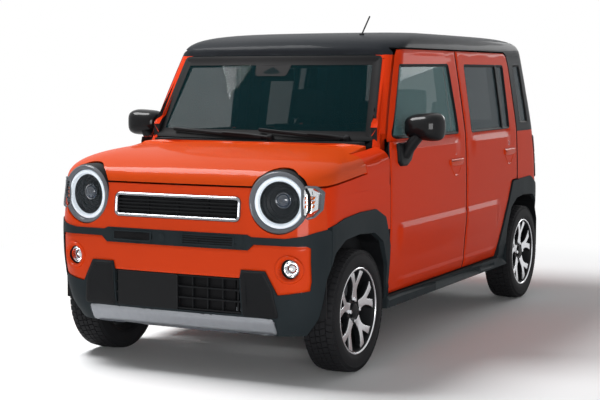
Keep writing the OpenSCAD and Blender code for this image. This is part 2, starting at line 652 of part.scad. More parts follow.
// Arch and sill cladding in one run along a side
sill_cladding_z = 252;
module cladding_2d() difference() {
  union() {
    intersection() {
      front_arch_outer();
      translate([front_axle - 290 + seam, 0]) square([1200, 2000]);
    }
    intersection() {
      rear_arch_outer();
      translate([0, 0]) square([tail - 160, 2000]);
    }
    polygon([[front_axle + 300, sill_cladding_z], [front_axle + 300, door_low_z - panel_gap / 2], [rear_axle - 400, door_low_z - panel_gap / 2],
      [rear_axle - 400, sill_cladding_z]]);
  }
  arch_opening(front_axle);
  arch_opening(rear_axle);
}
module arch_cladding_left() color(BLACK) {
  difference() {
    intersection() {
      union() {
        lower_shell(-cladding_proud, skin_wall - 6);
        sill_box();
      }
      side_prism() cladding_2d();
      translate([0, nose, sill_cladding_z]) cube([far, body_length, far]);
    }
    // The doors hang in front of the sill's upper edge
    side_prism() offset(delta = panel_gap / 2) { front_door_outline(); rear_door_outline(); }
  }
}
// Sill: the cladding runs straight down under the doors instead of tucking in
module sill_box() {
  y0 = front_axle + 322;
  y1 = rear_axle - 322;
  box([half - 70, half + cladding_proud - 12], [y0, y1], [sill_cladding_z, door_low_z + 60]);
}
module arch_cladding() { arch_cladding_left(); mirror([1, 0, 0]) arch_cladding_left(); }

rear_bumper_top = tailgate_low_z - panel_gap;
module rear_bumper() color(ORANGE) difference() {
  intersection() {
    lower_shell(-2, skin_wall);
    union() {
      across_prism() fixed() difference() {
        polygon([[rear_axle + 250, sill_z], [tail + 50, sill_z], [tail + 50, quarter_low_z], [rear_axle + 250, quarter_low_z]]);
        rear_cladding_cut();
      }
      rear_bumper_middle(0);
    }
  }
}
// The bumper rises to the tailgate between the quarters
module rear_bumper_middle(grow, rise = 0) front_prism(tail - 200, tail + 50) translate([-tailgate_half - panel_gap / 2 - grow, quarter_low_z - 50])
  square([2 * tailgate_half + panel_gap + 2 * grow, rear_bumper_top - quarter_low_z + 50 + rise]);
module rear_cladding_cut() {
  intersection() { rear_arch_outer(); translate([0, 0]) square([tail - 160, 2000]); }
  arch_opening(rear_axle);
}

tail_lamp_z = [740, 1010];
module tail_lamp_block(grow) front_prism(tail - 260, tail + 20) translate([tailgate_half + panel_gap / 2 + 14 - grow, tail_lamp_z[0] - grow])
  square([84 + 2 * grow, tail_lamp_z[1] - tail_lamp_z[0] + 2 * grow]);
module tail_lamp_left() color("firebrick") intersection() {
  lower_shell(-8, wall - 12);
  tail_lamp_block(0);
}
module tail_lamps() { tail_lamp_left(); mirror([1, 0, 0]) tail_lamp_left(); }

// Glass

module windscreen() color("lightslategray", 0.4) difference() {
  intersection() {
    cabin_shell(2, 2 + glass, 2, 2 + glass);
    front_prism(nose, pillar_y + 250) windscreen_2d();
    across_prism() fixed() polygon([[nose, belt_z], [pillar_y + 200, belt_z], [pillar_y + 200, header_z - seam], [nose, header_z - seam]]);
  }
}
module side_glass(side) intersection() {
  cabin_shell(glass_inset, glass_inset + glass, 100, 200);
  side_prism(side) offset(delta = -2 * seam) children();
}
module quarter_glass() color("darkslategray", 0.4) {
  side_glass(LEFT) quarter_window_outline();
  side_glass(RIGHT) quarter_window_outline();
}
module glass_front_left() color("lightslategray", 0.4) side_glass(LEFT) front_window_outline();
module glass_front_right() color("lightslategray", 0.4) side_glass(RIGHT) front_window_outline();
module glass_rear_left() color("darkslategray", 0.4) side_glass(LEFT) rear_window_outline();
module glass_rear_right() color("darkslategray", 0.4) side_glass(RIGHT) rear_window_outline();

// Doors

hinge_heights = [520, 880];
lug = 8;
arm = 14;
hinge_x = skin_x(hinge_heights[0]) - side_bow / 2 - hinge_depth;
pocket_back = hinge_back + 14;
door_flange = 8;
handle_z = [902, 916];
// Pocket behind the leading edge that the hinge arms reach into
module hinge_pocket(y) intersection() {
  loft(lower_rows(), door_flange);
  box([0, far], [y - 20, y + pocket_back], [door_low_z - 10, belt_z + 1]);
}
module hinge_lugs(y) for (z = hinge_heights) for (s = [-1, 1])
  translate([0, 0, z + s * (arm / 2 + 1 + lug / 2) - lug / 2]) difference() {
    hull() {
      translate([hinge_x, y + hinge_back, 0]) cylinder(r = 11, h = lug, $fn = 14);
      translate([hinge_x - 10, y + pocket_back + 4, 0]) cube([14, 4, lug]);
    }
    translate([hinge_x, y + hinge_back, -1]) cylinder(r = hinge_pin_r + 0.4, h = lug + 2, $fn = 16);
  }
// Pull handle over a hollow that narrows downwards
module handle_hollow(place) translate([half - 12, place[0], place[1]]) rotate([90, 0, 90]) linear_extrude(40)
  rounded(8) polygon([[-96, 16], [96, 16], [22, -56], [-22, -56]]);
module handle_paddle(place) translate([half - 14, place[0], place[1]]) rotate([90, 0, 90]) hull() {
  linear_extrude(10) rounded(6) polygon([[-106, 32], [106, 32], [92, -2], [-92, -2]]);
  linear_extrude(16) rounded(6) polygon([[-94, 26], [94, 26], [84, 4], [-84, 4]]);
}
module door_left(y_lead, handle) {
  difference() {
    intersection() {
      side_wall();
      side_prism() moving() children(0);
      front_prism(nose, tail) outside_pillar_2d(-panel_gap / 2);
    }
    side_prism() children(1);
    hinge_pocket(y_lead + panel_gap / 2);
    handle_hollow(handle);
  }
  hinge_lugs(y_lead + panel_gap / 2);
  handle_paddle(handle);
}
front_handle = [door_mid_y - 161, handle_z[0]];
rear_handle = [door_rear_y - 158, handle_z[1]];
module door_front_left() color(ORANGE) door_left(door_front_y, front_handle) { front_door_outline(); front_window_outline(); }
module door_front_right() color(ORANGE) mirror([1, 0, 0]) door_left(door_front_y, front_handle) { front_door_outline(); front_window_outline(); }
module door_rear_left() color(ORANGE) door_left(door_mid_y, rear_handle) { rear_door_outline(); rear_window_outline(); }
module door_rear_right() color(ORANGE) mirror([1, 0, 0]) door_left(door_mid_y, rear_handle) { rear_door_outline(); rear_window_outline(); }

// Hinge arms on the posts, each with its pin
module hinge_arm(y, z) {
  pin_y = y + panel_gap / 2 + hinge_back;
  box([post_x, hinge_x], [pin_y - 6, pin_y + 6], [z - arm / 2, z + arm / 2]);
  translate([hinge_x, pin_y, z - arm / 2]) cylinder(r = 6, h = arm);
  translate([hinge_x, pin_y, z - arm / 2 - 1 - lug]) cylinder(r = hinge_pin_r, h = arm + 2 + 2 * lug);
}
// Goose-neck arms of the tailgate under the roof's rear edge
gooseneck = 76;
module tailgate_arm() translate([tailgate_pin_x, 0, tailgate_pin_z]) {
  box([-arm / 2, arm / 2], [tailgate_cut_y - 62, tailgate_pin_y + 6], [-gooseneck - 16, -gooseneck]);
  box([-arm / 2, arm / 2], [tailgate_pin_y - 6, tailgate_pin_y + 6], [-gooseneck - 16, 0]);
  translate([-arm / 2 - 1 - lug, tailgate_pin_y, 0]) rotate([0, 90, 0]) cylinder(r = hinge_pin_r, h = arm + 2 + 2 * lug);
}
module door_hinges() color("gray") both_sides() {
  for (y = [door_front_y, door_mid_y]) for (z = hinge_heights) hinge_arm(y, z);
  tailgate_arm();
}

// Door mirror: painted-black shell on a stalk at the window's front corner
mirror_x = half + 81.5;
mirror_y = door_front_y + 205;
mirror_z = 1128;
module mirror_body() color(DARK) {
  hull() for (p = [[-96, -30, -46, 26], [-92, -14, 46, 22], [92, 24, -40, 24], [88, 34, 40, 20], [-96, 46, -44, 22], [-90, 46, 44, 20], [92, 50, -38, 20], [88, 50, 38, 18]])
    translate([mirror_x + p[0] + 8, mirror_y + p[1], mirror_z + p[2]]) sphere(r = p[3], $fn = 14);
  hull() {
    translate([mirror_x - 62, mirror_y + 20, mirror_z - 56]) cylinder(r = 24, h = 10, $fn = 16);
    translate([half + 4, mirror_y - 40, mirror_z - 160]) sphere(r = 16, $fn = 16);
    translate([half + 6, mirror_y - 20, mirror_z - 120]) sphere(r = 16, $fn = 16);
  }
}
module mirror_foot() difference() {
  mirror_body();
  loft(lower_rows(), -seam);
  loft(cabin_rows(), -seam);
}
module mirror_left() mirror_foot();
module mirror_right() mirror([1, 0, 0]) mirror_foot();

// Bonnet

bonnet_hinge_y = bonnet_rear_y - 16;
bonnet_hinge_z = bonnet_crown_z - 24;
bonnet_hinge_x = half - 260.5;
module bonnet() color(ORANGE) {
  difference() {
    loft(bonnet_rows(), 0);
    loft(concat([at_z(bonnet_rows(0, bonnet_wall)[0], 700)], bonnet_rows(bonnet_wall, bonnet_wall)), 0);
    across_prism() polygon([[nose - 100, 0], [nose - 100, bonnet_z], [fender_seam_y, bonnet_side_front_z],
      [bonnet_side_rear_y, bonnet_side_rear_z], [bonnet_side_rear_y + 400, bonnet_side_rear_z], [bonnet_side_rear_y + 400, 0]]);
    both_sides() {
      lamp_hole(lamp_radius + panel_gap);
      front_prism(nose - 50, front_axle) ear_2d(panel_gap);
      box([cowl_side_x, far], [bonnet_side_rear_y - seam, far], [0, far]);
      box([bonnet_hinge_x - 27, bonnet_hinge_x + 27], [bonnet_hinge_y - 28, far], [0, bonnet_hinge_z + 9]);
    }
  }
  both_sides() for (s = [-1, 1]) translate([bonnet_hinge_x + s * 14 - 4, 0, 0]) difference() {
    hull() {
      translate([0, bonnet_hinge_y, bonnet_hinge_z]) rotate([0, 90, 0]) cylinder(r = 10, h = 8, $fn = 14);
      translate([0, bonnet_hinge_y - 40, bonnet_crown_z - 26]) cube([8, 20, 10]);
    }
    translate([-1, bonnet_hinge_y, bonnet_hinge_z]) rotate([0, 90, 0]) cylinder(r = 5.4, h = 10, $fn = 16);
  }
}

// Tailgate

module tailgate() color(ORANGE) {
  difference() {
    intersection() {
      union() { lower_shell(0, wall); cabin_shell(0, frame_wall, 0, roof_wall); }
      tailgate_zone(-panel_gap / 2);
    }
    front_prism(tail - 300, tail + 50) rear_window_2d();
    tailgate_pocket();
  }
  tailgate_lugs();
}
tailgate_pin_y = tailgate_cut_y + panel_gap / 2 + hinge_back;
tailgate_pin_z = roof_z(tailgate_pin_y) - hinge_depth - 8;
tailgate_pin_x = 300;
module tailgate_pocket() box([-tailgate_pin_x - 40, tailgate_pin_x + 40], [tailgate_cut_y - 40, tailgate_pin_y + 14], [0, tailgate_pin_z + 6]);
module tailgate_lugs() both_sides() for (s = [-1, 1]) translate([tailgate_pin_x + s * (arm / 2 + 1 + lug / 2) - lug / 2, 0, 0]) difference() {
  hull() {
    translate([0, tailgate_pin_y, tailgate_pin_z]) rotate([0, 90, 0]) cylinder(r = 10, h = lug, $fn = 14);
    translate([0, tailgate_pin_y + 14, tailgate_pin_z - 16]) cube([lug, 6, 14]);
  }
  translate([-1, tailgate_pin_y, tailgate_pin_z]) rotate([0, 90, 0]) cylinder(r = hinge_pin_r + 0.4, h = lug + 2, $fn = 16);
}
module rear_glass() color("darkslategray", 0.4) intersection() {
  cabin_shell(glass_inset, glass_inset + glass, 100, 200);
  front_prism(tail - 300, tail + 50) offset(delta = -2 * seam) rear_window_2d();
}

// Chassis and floor

floor_z = 262;
floor_t = 24;
rear_floor_z = 470;
bulkhead_y = door_front_y + 10;
jack_z = 225;
jack_pad = [60, 80];
front_floor_end = rear_axle - 360;
bulkhead = 24;
cowl_front_y = bonnet_rear_y + 21;
apron_x = 440;
tower_z = 800;
rail_x = [330, 385];
rail_low_z = 420;
nose_panel_y = nose + 78;
module floor_pan() color("darkslategray") {
  x = post_in - 0.3;
  wall_y = [bulkhead_y - bulkhead, bulkhead_y];
  box([-x, x], [bulkhead_y - bulkhead, front_floor_end], [floor_z, floor_z + floor_t]);
  box([-x, x], [front_floor_end - 24, front_floor_end], [floor_z, rear_floor_z]);
  box([-500, 500], [front_floor_end - 24, tail - skin_wall - 42], [rear_floor_z - floor_t, rear_floor_z]);
  // Jacking pads under the sills
  for (s = [0, 1]) mirror([s, 0, 0]) for (y = [door_front_y + 180, front_floor_end - 120])
    box([x - jack_pad[0], x], [y - jack_pad[1] / 2, y + jack_pad[1] / 2], [jack_z, floor_z + 1]);
  // Bulkhead and cowl shelf under the windscreen
  box([-x, x], wall_y, [floor_z, belt_z - 20]);
  box([-x, x], [cowl_front_y, bulkhead_y], [belt_z - 22, belt_z - seam]);
  // Bonnet hinge brackets
  for (s = [LEFT, RIGHT]) translate([s * bonnet_hinge_x, 0, 0]) {
    box([-7, 7], [bonnet_hinge_y - 7, wall_y[0] + 2], [bonnet_hinge_z - 84, bonnet_hinge_z - 60]);
    box([-7, 7], [bonnet_hinge_y - 7, bonnet_hinge_y + 7], [bonnet_hinge_z - 84, bonnet_hinge_z]);
    translate([-20, bonnet_hinge_y, bonnet_hinge_z]) rotate([0, 90, 0]) cylinder(r = 5, h = 40);
  }
  // Front side members, aprons with strut towers and the nose panel
  for (s = [0, 1]) mirror([s, 0, 0]) {
    box(rail_x, [nose_panel_y, wall_y[0] + 2], [rail_low_z, rail_low_z + 80]);
    box([apron_x, apron_x + 12], [front_axle - 150, wall_y[0] + 2], [540, tower_z + 20]);
    box([apron_x, 600], [front_axle - 100, front_axle + 100], [tower_z, tower_z + 20]);
    box([rail_x[1] - 30, apron_x + 12], [front_axle + 150, wall_y[0] + 2], [rail_low_z + 60, rail_low_z + 140]);
  }
  box([-rail_x[1] + 15, rail_x[1] - 15], [nose_panel_y, nose_panel_y + 24], [330, 850]);
}

// Cross member with the lower arms that carry the steering knuckles
arm_z = [164, 188];
module front_subframe() color("gray") {
  box([-rail_x[1], rail_x[1]], [front_axle + 60, front_axle + 150], [200, 260]);
  for (s = [0, 1]) mirror([s, 0, 0]) {
    box([rail_x[0] + 10, rail_x[1] - 5], [front_axle + 60, front_axle + 120], [255, rail_low_z - seam]);
    box([300, kingpin_x], [front_axle - 18, front_axle + 18], arm_z);
    box([300, 380], [front_axle - 18, front_axle + 100], [arm_z[0], 210]);
    translate([kingpin_x, front_axle, arm_z[0]]) cylinder(r = 20, h = arm_z[1] - arm_z[0]);
  }
}

// Engine with its gearbox between the side members
module engine() color("gray") {
  box([-rail_x[0] + 0.3, 120], [front_axle - 170, front_axle + 190], [430, 800]);
  box([119, rail_x[0] - 0.3], [front_axle - 130, front_axle + 150], [400, 640]);
  box([-260, 260], [front_axle - 120, front_axle + 40], [290, 431]);
}

// Black liners that close the wheel housings
liner = 5;
liner_low_z = 300;
module liner_2d(y) difference() {
  offset(delta = -seam) arch_opening(y);
  offset(delta = -liner) arch_opening(y);
  translate([y - 1000, -10]) square([2000, liner_low_z + 10]);
}
module wheel_liners() color(DARK) both_sides() {
  translate([kingpin_x + 8, 0, 0]) rotate([90, 0, 90]) linear_extrude(half - 22 - kingpin_x - 8) liner_2d(front_axle);
  translate([500 + seam, 0, 0]) rotate([90, 0, 90]) linear_extrude(half - 22 - 500) liner_2d(rear_axle);
}

// Twist beam with its trailing arms and the rear spindles
module rear_axle_beam() color("gray") {
  translate([-480, rear_axle - 90, tyre_radius + 10]) rotate([0, 90, 0]) cylinder(r = 30, h = 960);
  for (s = [0, 1]) mirror([s, 0, 0]) {
    box([430, 478], [front_floor_end + seam, rear_axle + 40], [tyre_radius - 20, tyre_radius + 24]);
    box([470, 500], [rear_axle - 60, rear_axle + 60], [tyre_radius - 60, tyre_radius + 60]);
    translate([460, rear_axle, tyre_radius]) rotate([0, 90, 0]) cylinder(r = spindle_radius, h = track / 2 + 45 - 460);
  }
}
module rear_axle() rear_axle_beam();

pipe_x = -250;
module exhaust() color("darkgray") {
  translate([pipe_x, front_axle + 300, 226]) rotate([-90, 0, 0]) cylinder(r = 21, h = rear_axle + 170 - front_axle - 300);
  translate([pipe_x - 160, rear_axle + 230, 262]) rotate([0, 90, 0]) cylinder(r = 66, h = 360);
  translate([pipe_x, rear_axle + 160, 226]) rotate([-90, 0, 0]) cylinder(r = 21, h = 20);
  translate([pipe_x + 120, rear_axle + 270, 250]) rotate([-90, 0, 0]) cylinder(r = 18, h = 106);
  for (y = [front_axle + 700, front_axle + 1400]) box([pipe_x - 8, pipe_x + 8], [y, y + 30], [230, floor_z - seam]);
}

module fuel_tank() color(DARK) translate([0, 0, 178]) linear_extrude(floor_z - seam - 178)
  polygon([[-150, 400], [-130, 380], [400, 380], [420, 400], [420, 760], [400, 780], [-130, 780], [-150, 760]]);

// Cabin

dash_y = bulkhead_y + seam;
wheel_centre = [-335, -448, 930];
column_tilt = 28;
module dashboard() color("dimgray") {
  translate([-post_in + 4, 0, 0]) rotate([90, 0, 90]) linear_extrude(2 * post_in - 8) polygon([[dash_y, 700], [dash_y + 110, 690],
    [dash_y + 250, 760], [dash_y + 300, 850], [dash_y + 310, 930], [dash_y + 280, 985], [dash_y + 180, 1012], [dash_y, 1022]]);
  at_wheel_axis() translate([0, 0, -240]) cylinder(r = 34, h = 222);
  box([-110, 110], [dash_y + 200, dash_y + 330], [590, 760]);
}
steering_rim_r = 178;
module steering_wheel() color(DARK) at_wheel_axis() {
  rotate_extrude($fn = 64) translate([steering_rim_r, 0]) circle(r = 15, $fn = 24);
  translate([0, 0, -17.7]) cylinder(r = 56, h = 34);
  for (a = [0, 180, 270]) rotate(a) translate([40, -16, -8]) cube([steering_rim_r - 44, 32, 14]);
}
// The wheel's own axis points at the driver
module at_wheel_axis() translate(wheel_centre) rotate([-90 + column_tilt, 0, 0]) children();

seat_x = post_in - 267.5;
seat_half = 235;
seat_y = -30;
module cushion(x, y, z, r) hull() for (i = [0, 1]) for (j = [0, 1])
  translate([x[0] + r, y[i] + (i == 0 ? r : -r), z[j] + (j == 0 ? r : -r)]) rotate([0, 90, 0]) cylinder(r = r, h = x[1] - x[0] - 2 * r, $fn = 16);
module seat_back(x, y, z, lean, t, r) hull() for (j = [0, 1]) for (i = [0, 1])
  translate([x[0] + r + (j == 1 ? 25 : 0), y + j * lean + (i == 0 ? r : t - r), z[j] + (j == 0 ? r : -r)]) rotate([0, 90, 0])
    cylinder(r = r, h = x[1] - x[0] - 2 * r - (j == 1 ? 50 : 0), $fn = 16);
module front_seat(s) translate([s * seat_x, seat_y, 0]) {
  x = [-seat_half, seat_half];
  box([-200, 200], [-230, 190], [floor_z + floor_t, 430]);
  cushion(x, [-300, 200], [400, 570], 50);
  seat_back(x, 130, [480, 1110], 150, 130, 45);
  seat_back([-130, 130], 300, [1120, 1310], 24, 90, 35);
  box([-70, 70], [325, 350], [1080, 1160]);
}
module front_seats() color("darkslategray") for (s = [LEFT, RIGHT]) front_seat(s);

rear_seat_y = rear_axle - 660;
module rear_seat() color("darkslategray") {
  x = [95.5 - post_in, post_in - 95.5];
  box([x[0] + 20, x[1] - 20], [rear_seat_y + 40, front_floor_end - 24 - seam], [floor_z + floor_t, 480]);
  cushion(x, [rear_seat_y, rear_seat_y + 500], [rear_floor_z + seam, 620], 45);
  seat_back(x, rear_seat_y + 420, [500, 1060], 110, 120, 45);
  for (s = [LEFT, RIGHT]) translate([s * 250, 0, 0]) {
    seat_back([-125, 125], rear_seat_y + 540, [1075, 1230], 20, 80, 32);
    box([-60, 60], [rear_seat_y + 555, rear_seat_y + 580], [1030, 1110]);
  }
}

inner_mirror = [0, nose + 990, 1386];
module rear_view_mirror() color(DARK) intersection() {
  union() {
    translate(inner_mirror) box([-115, 115], [-10, 14], [-32, 32]);
    hull() {
      translate(inner_mirror + [-10, -4, 0]) cube([20, 14, 20]);
      translate(inner_mirror + [-14, -150, 90]) cube([28, 60, 20]);
    }
  }
  loft(concat(cabin_rows(), roof_rows(roof_wall)), 2 + glass + 0.2);
}

antenna_x = 350;
antenna_y = -400;
antenna_base_r = 13;
antenna_z = roof_height - 37;
module antenna() color(DARK) translate([antenna_x, antenna_y, antenna_z]) {
  translate([0, 0, -20]) cylinder(r = antenna_base_r, h = 34);
  translate([0, 0, 10]) rotate([-46, 0, 0]) cylinder(r = 4, h = 140);
}

// Running gear

knuckle_low_z = arm_z[1] + seam;
module knuckle_base() color("gray") {
  box([548, 604], [front_axle - 42, front_axle + 42], [knuckle_low_z, tyre_radius + 110]);
  translate([560, front_axle, tyre_radius]) rotate([0, 90, 0]) cylinder(r = spindle_radius, h = track / 2 + 45 - 560);
  box([500, 560], [front_axle - 24, front_axle + 24], [tyre_radius + 40, tyre_radius + 110]);
  translate([524, front_axle, tyre_radius + 60]) cylinder(r = 23, h = tower_z - seam - tyre_radius - 60);
}
module knuckle_left() knuckle_base();
module knuckle_right() mirror([1, 0, 0]) knuckle_base();

module tyre() color(DARK) rotate([0, 90, 0]) rotate_extrude($fn = 96) tyre_profile();
module tyre_profile() {
  h = tyre_width / 2;
  r = tyre_radius;
  b = rim_radius + 0.3;
  polygon([[b, -h + 18], [b + 16, -h + 14], [b + 34, -h + 4], [b + 52, -h], [r - 34, -h + 3], [r - 16, -h + 12], [r - 5, -h + 24],
    [r, -h + 38], [r, h - 38], [r - 5, h - 24], [r - 16, h - 12], [r - 34, h - 3], [b + 52, h], [b + 34, h - 4], [b + 16, h - 14], [b, h - 18]]);
}
module rim() color("silver") {
  rotate([0, 90, 0]) rotate_extrude($fn = 96) rim_profile();
  rim_face();
}
module rim_profile() {
  h = tyre_width / 2 - 18;
  polygon([[rim_radius, -h], [rim_radius, h], [rim_radius - 10, h + 2], [rim_radius - 22, h - 8], [rim_radius - 30, h - 50],
    [rim_radius - 30, -h], [rim_radius - 8, -h - 1]]);
}
hub_r = 68;
face_x = 22;
face_t = 26;
spoke_fork = 112;
module rim_face() difference() {
  union() {
    translate([-20, 0, 0]) rotate([0, 90, 0]) cylinder(r = hub_r, h = 20 + face_x + face_t - 6);
    for (i = [0:spoke_count - 1]) rotate([360 / spoke_count * i, 0, 0]) spoke();
  }
  translate([-60, 0, 0]) rotate([0, 90, 0]) cylinder(r = spindle_radius + 0.05, h = 200);
}
module spoke() translate([face_x, 0, 0]) rotate([90, 0, 90]) linear_extrude(face_t) {
  polygon([[-24, 50], [24, 50], [13, spoke_fork], [-13, spoke_fork]]);
  for (s = [-1, 1]) polygon([[s * -4, spoke_fork - 14], [s * 14, spoke_fork - 8], [s * 58, rim_radius - 32], [s * 42, rim_radius - 22]]);
}
module at_wheel(side, y) translate([side * track / 2, y, tyre_radius]) rotate([0, 0, side == LEFT ? 0 : 180]) children();
module tyre_front_left() at_wheel(LEFT, front_axle) tyre();
module tyre_front_right() at_wheel(RIGHT, front_axle) tyre();
module tyre_rear_left() at_wheel(LEFT, rear_axle) tyre();
module tyre_rear_right() at_wheel(RIGHT, rear_axle) tyre();
module rim_front_left() at_wheel(LEFT, front_axle) rim();
module rim_front_right() at_wheel(RIGHT, front_axle) rim();
module rim_rear_left() at_wheel(LEFT, rear_axle) rim();
module rim_rear_right() at_wheel(RIGHT, rear_axle) rim();

floor_pan();
body_sides();
rear_pillars();
roof();
fenders();
front_bumper();
bumper_cladding();
skid_bar();
grille_frame();
grille_slats();
number_plate();
headlamps();
turn_lamps();
fog_lamps();
arch_cladding();
rear_bumper();
tail_lamps();
windscreen();
quarter_glass();
door_hinges();
wheel_liners();
engine();
rear_axle();
exhaust();
fuel_tank();
dashboard();
front_seats();
rear_seat();
rear_view_mirror();
antenna();
front_subframe();
knuckle_left();
knuckle_right();
steering_wheel();
bonnet();
door_front_left();
door_front_right();
door_rear_left();
door_rear_right();
glass_front_left();
glass_front_right();
glass_rear_left();
glass_rear_right();
mirror_left();
mirror_right();
tailgate();
rear_glass();
tyre_front_left();
tyre_front_right();
tyre_rear_left();
tyre_rear_right();
rim_front_left();
rim_front_right();
rim_rear_left();
rim_rear_right();
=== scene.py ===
# %% [markdown]
# Kei car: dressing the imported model
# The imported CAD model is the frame. Every piece made here rides on one of its
# bodies, in metres, with the front of the car towards -Y and its left at +X.
# The body panels are cut flat-faced in CAD, so this script lays them on smooth
# surfaces, then adds lamps, wheels, glass, seats and small trim.

# %% Load the frame
import math

import bmesh
import bpy
import numpy as np
from mathutils import Matrix, Vector
from mathutils.bvhtree import BVHTree


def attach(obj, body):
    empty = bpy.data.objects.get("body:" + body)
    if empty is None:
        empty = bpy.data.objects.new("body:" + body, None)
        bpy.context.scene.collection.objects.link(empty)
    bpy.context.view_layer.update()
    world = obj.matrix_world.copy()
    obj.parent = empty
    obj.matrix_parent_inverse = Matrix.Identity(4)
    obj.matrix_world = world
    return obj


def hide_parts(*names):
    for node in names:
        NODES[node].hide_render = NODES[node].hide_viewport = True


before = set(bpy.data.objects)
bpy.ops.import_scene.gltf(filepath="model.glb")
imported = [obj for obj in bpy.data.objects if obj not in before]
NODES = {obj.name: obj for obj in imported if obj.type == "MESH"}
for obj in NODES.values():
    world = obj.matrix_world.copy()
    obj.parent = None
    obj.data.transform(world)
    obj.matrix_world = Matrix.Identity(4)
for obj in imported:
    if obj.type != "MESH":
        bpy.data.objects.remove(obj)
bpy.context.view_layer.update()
MM = 0.001

# %% [markdown]
# Camera
# The photograph was taken from the front left with a long lens, a little above
# the bonnet. Its place was solved from the wheels and the car's known length.

# %% Camera
CAMERA_PLACE = (3.358, -7.014, 1.378)
CAMERA_YAW = math.radians(27.01)
CAMERA_PITCH = math.radians(5.13)
CAMERA_LENS = 82.5

camera_data = bpy.data.cameras.new("camera")
camera_data.lens = CAMERA_LENS
camera_data.sensor_width = 36.0
camera = bpy.data.objects.new("camera", camera_data)
camera.location = CAMERA_PLACE
camera.rotation_euler = (math.pi / 2 - CAMERA_PITCH, 0, CAMERA_YAW)
bpy.context.scene.collection.objects.link(camera)
bpy.context.scene.camera = camera
bpy.context.scene.view_settings.view_transform = "Standard"
print("camera at", CAMERA_PLACE)

# %% [markdown]
# Shader maths
# A shader is a graph of nodes. Writing the graph as sums and products keeps a
# finish readable, so Value wraps a socket and adds Math nodes by itself, and
# Finish.add makes any other node from its type, settings and inputs.

# %% Value and Finish
class Value:
    def __init__(self, finish, socket):
        self.finish, self.socket = finish, socket

    def _math(self, operation, a, b):
        return self.finish.add("ShaderNodeMath", {"operation": operation}, {0: a, 1: b})

    def __add__(self, other): return self._math("ADD", self, other)
    def __radd__(self, other): return self._math("ADD", other, self)
    def __sub__(self, other): return self._math("SUBTRACT", self, other)
    def __rsub__(self, other): return self._math("SUBTRACT", other, self)
    def __mul__(self, other): return self._math("MULTIPLY", self, other)
    def __pow__(self, other): return self._math("POWER", self, other)


class Finish:
    """A material with one Principled shader, filled in by sockets' names."""

    def __init__(self, name, **sockets):
        self.material = bpy.data.materials.new(name)
        self.material.use_nodes = True
        self.tree = self.material.node_tree
        self.shader = self.tree.nodes["Principled BSDF"]
        self.set(**sockets)

    def set(self, **sockets):
        for key, value in sockets.items():
            self._fill(self.shader.inputs[key.replace("_", " ")], value)
        return self

    def _fill(self, socket, value):
        if isinstance(value, Value):
            self.tree.links.new(value.socket, socket)
        elif socket.type == "RGBA":
            socket.default_value = (*value[:3], 1.0)
        else:
            socket.default_value = value

    def add(self, kind, settings=None, inputs=None, output=0):
        node = self.tree.nodes.new(kind)
        for key, value in (settings or {}).items():
            setattr(node, key, value)
        for key, value in (inputs or {}).items():
            self._fill(node.inputs[key], value)
        return Value(self, node.outputs[output])

    def coords(self):
        return self.add("ShaderNodeTexCoord", output="Object")

    def noise(self, scale, detail=2.0):
        return self.add("ShaderNodeTexNoise", {},
                        {"Vector": self.coords(), "Scale": scale, "Detail": detail}, "Fac")

    def mix(self, factor, a, b):
        return self.add("ShaderNodeMix", {"data_type": "RGBA"}, {0: factor, 6: a, 7: b}, 2)

    def bump(self, height, strength, distance):
        inputs = {"Height": height, "Strength": strength, "Distance": distance}
        return self.set(Normal=self.add("ShaderNodeBump", {}, inputs))


def linear(red, green, blue):
    """Colour as seen on a screen, 0 to 255, to the linear values a shader takes."""
    return tuple((c / 255 / 12.92) if c <= 10 else ((c / 255 + 0.055) / 1.055) ** 2.4
                 for c in (red, green, blue))


print("shader helpers ready")

# %% [markdown]
# Finishes
# The paint is an orange base under a clear coat, with a slight orange peel. It comes in three
# copies that differ only in how light falls on them. The bonnet's copy is yellower with a thinner
# coat, which is a painted highlight. The doors, fenders, tailgate and rear bumper take a redder copy
# with a thin coat that reflects less, which is a painted shade. The roof has the same coat over black.
# The cladding is grained plastic, matt and a little uneven. Each finish has its own small
# variation, so none is flat.

# %% Finishes
LINING = (0.022, 0.023, 0.025)


def painted(name, colour, deep, coat, bend):
    """Paint under a clear coat. Faces that carry the attribute "inside" turn to dark cabin lining."""
    paint = Finish(name, Roughness=0.5, Specular_IOR_Level=0.03, Coat_Roughness=0.03, Coat_IOR=bend)
    flake = paint.mix(paint.noise(1800.0, 1.0) * 0.5 + paint.noise(3.0) * 0.25, linear(*colour),
                      linear(*deep))
    inside = paint.add("ShaderNodeAttribute", {"attribute_name": "inside"}, output="Fac")
    paint.set(Base_Color=paint.mix(inside, flake, LINING), Coat_Weight=coat - inside * coat)
    return paint.bump(paint.noise(320.0, 1.0), 0.03, 0.0006)


def plastic(name, colour, pale, roughness, grain, depth, shine=0.12):
    skin = Finish(name, Specular_IOR_Level=shine)
    cloud = skin.noise(7.0, 4.0)
    skin.set(Base_Color=skin.mix(cloud, linear(*colour), linear(*pale)),
             Roughness=roughness + (cloud - 0.5) * 0.12)
    return skin.bump(skin.noise(grain, 3.0), 0.35, depth)


def metal(name, colour, roughness, streak=40.0):
    bright = Finish(name, Metallic=1.0)
    cloud, colour = bright.noise(streak, 4.0), linear(*colour)
    dull = tuple(c * 0.86 for c in colour)
    return bright.set(Base_Color=bright.mix(cloud, colour, dull),
                      Roughness=roughness * 0.8 + cloud * roughness * 0.4)


def window(name, tint, tint_and_sheen, rim):
    """Glass as a part-opaque tint: partly the pane's own tint, partly painted reflection, more so at a
    grazing angle.
    """
    pane = Finish(name, Roughness=0.02, Base_Color=linear(*tint), Specular_IOR_Level=0.05)
    facing = pane.add("ShaderNodeLayerWeight", {}, {"Blend": 0.35}, "Facing")
    film = pane.noise(2.0, 2.0) * 0.03
    return pane.set(Alpha=tint_and_sheen + facing ** 2.0 * rim + film)
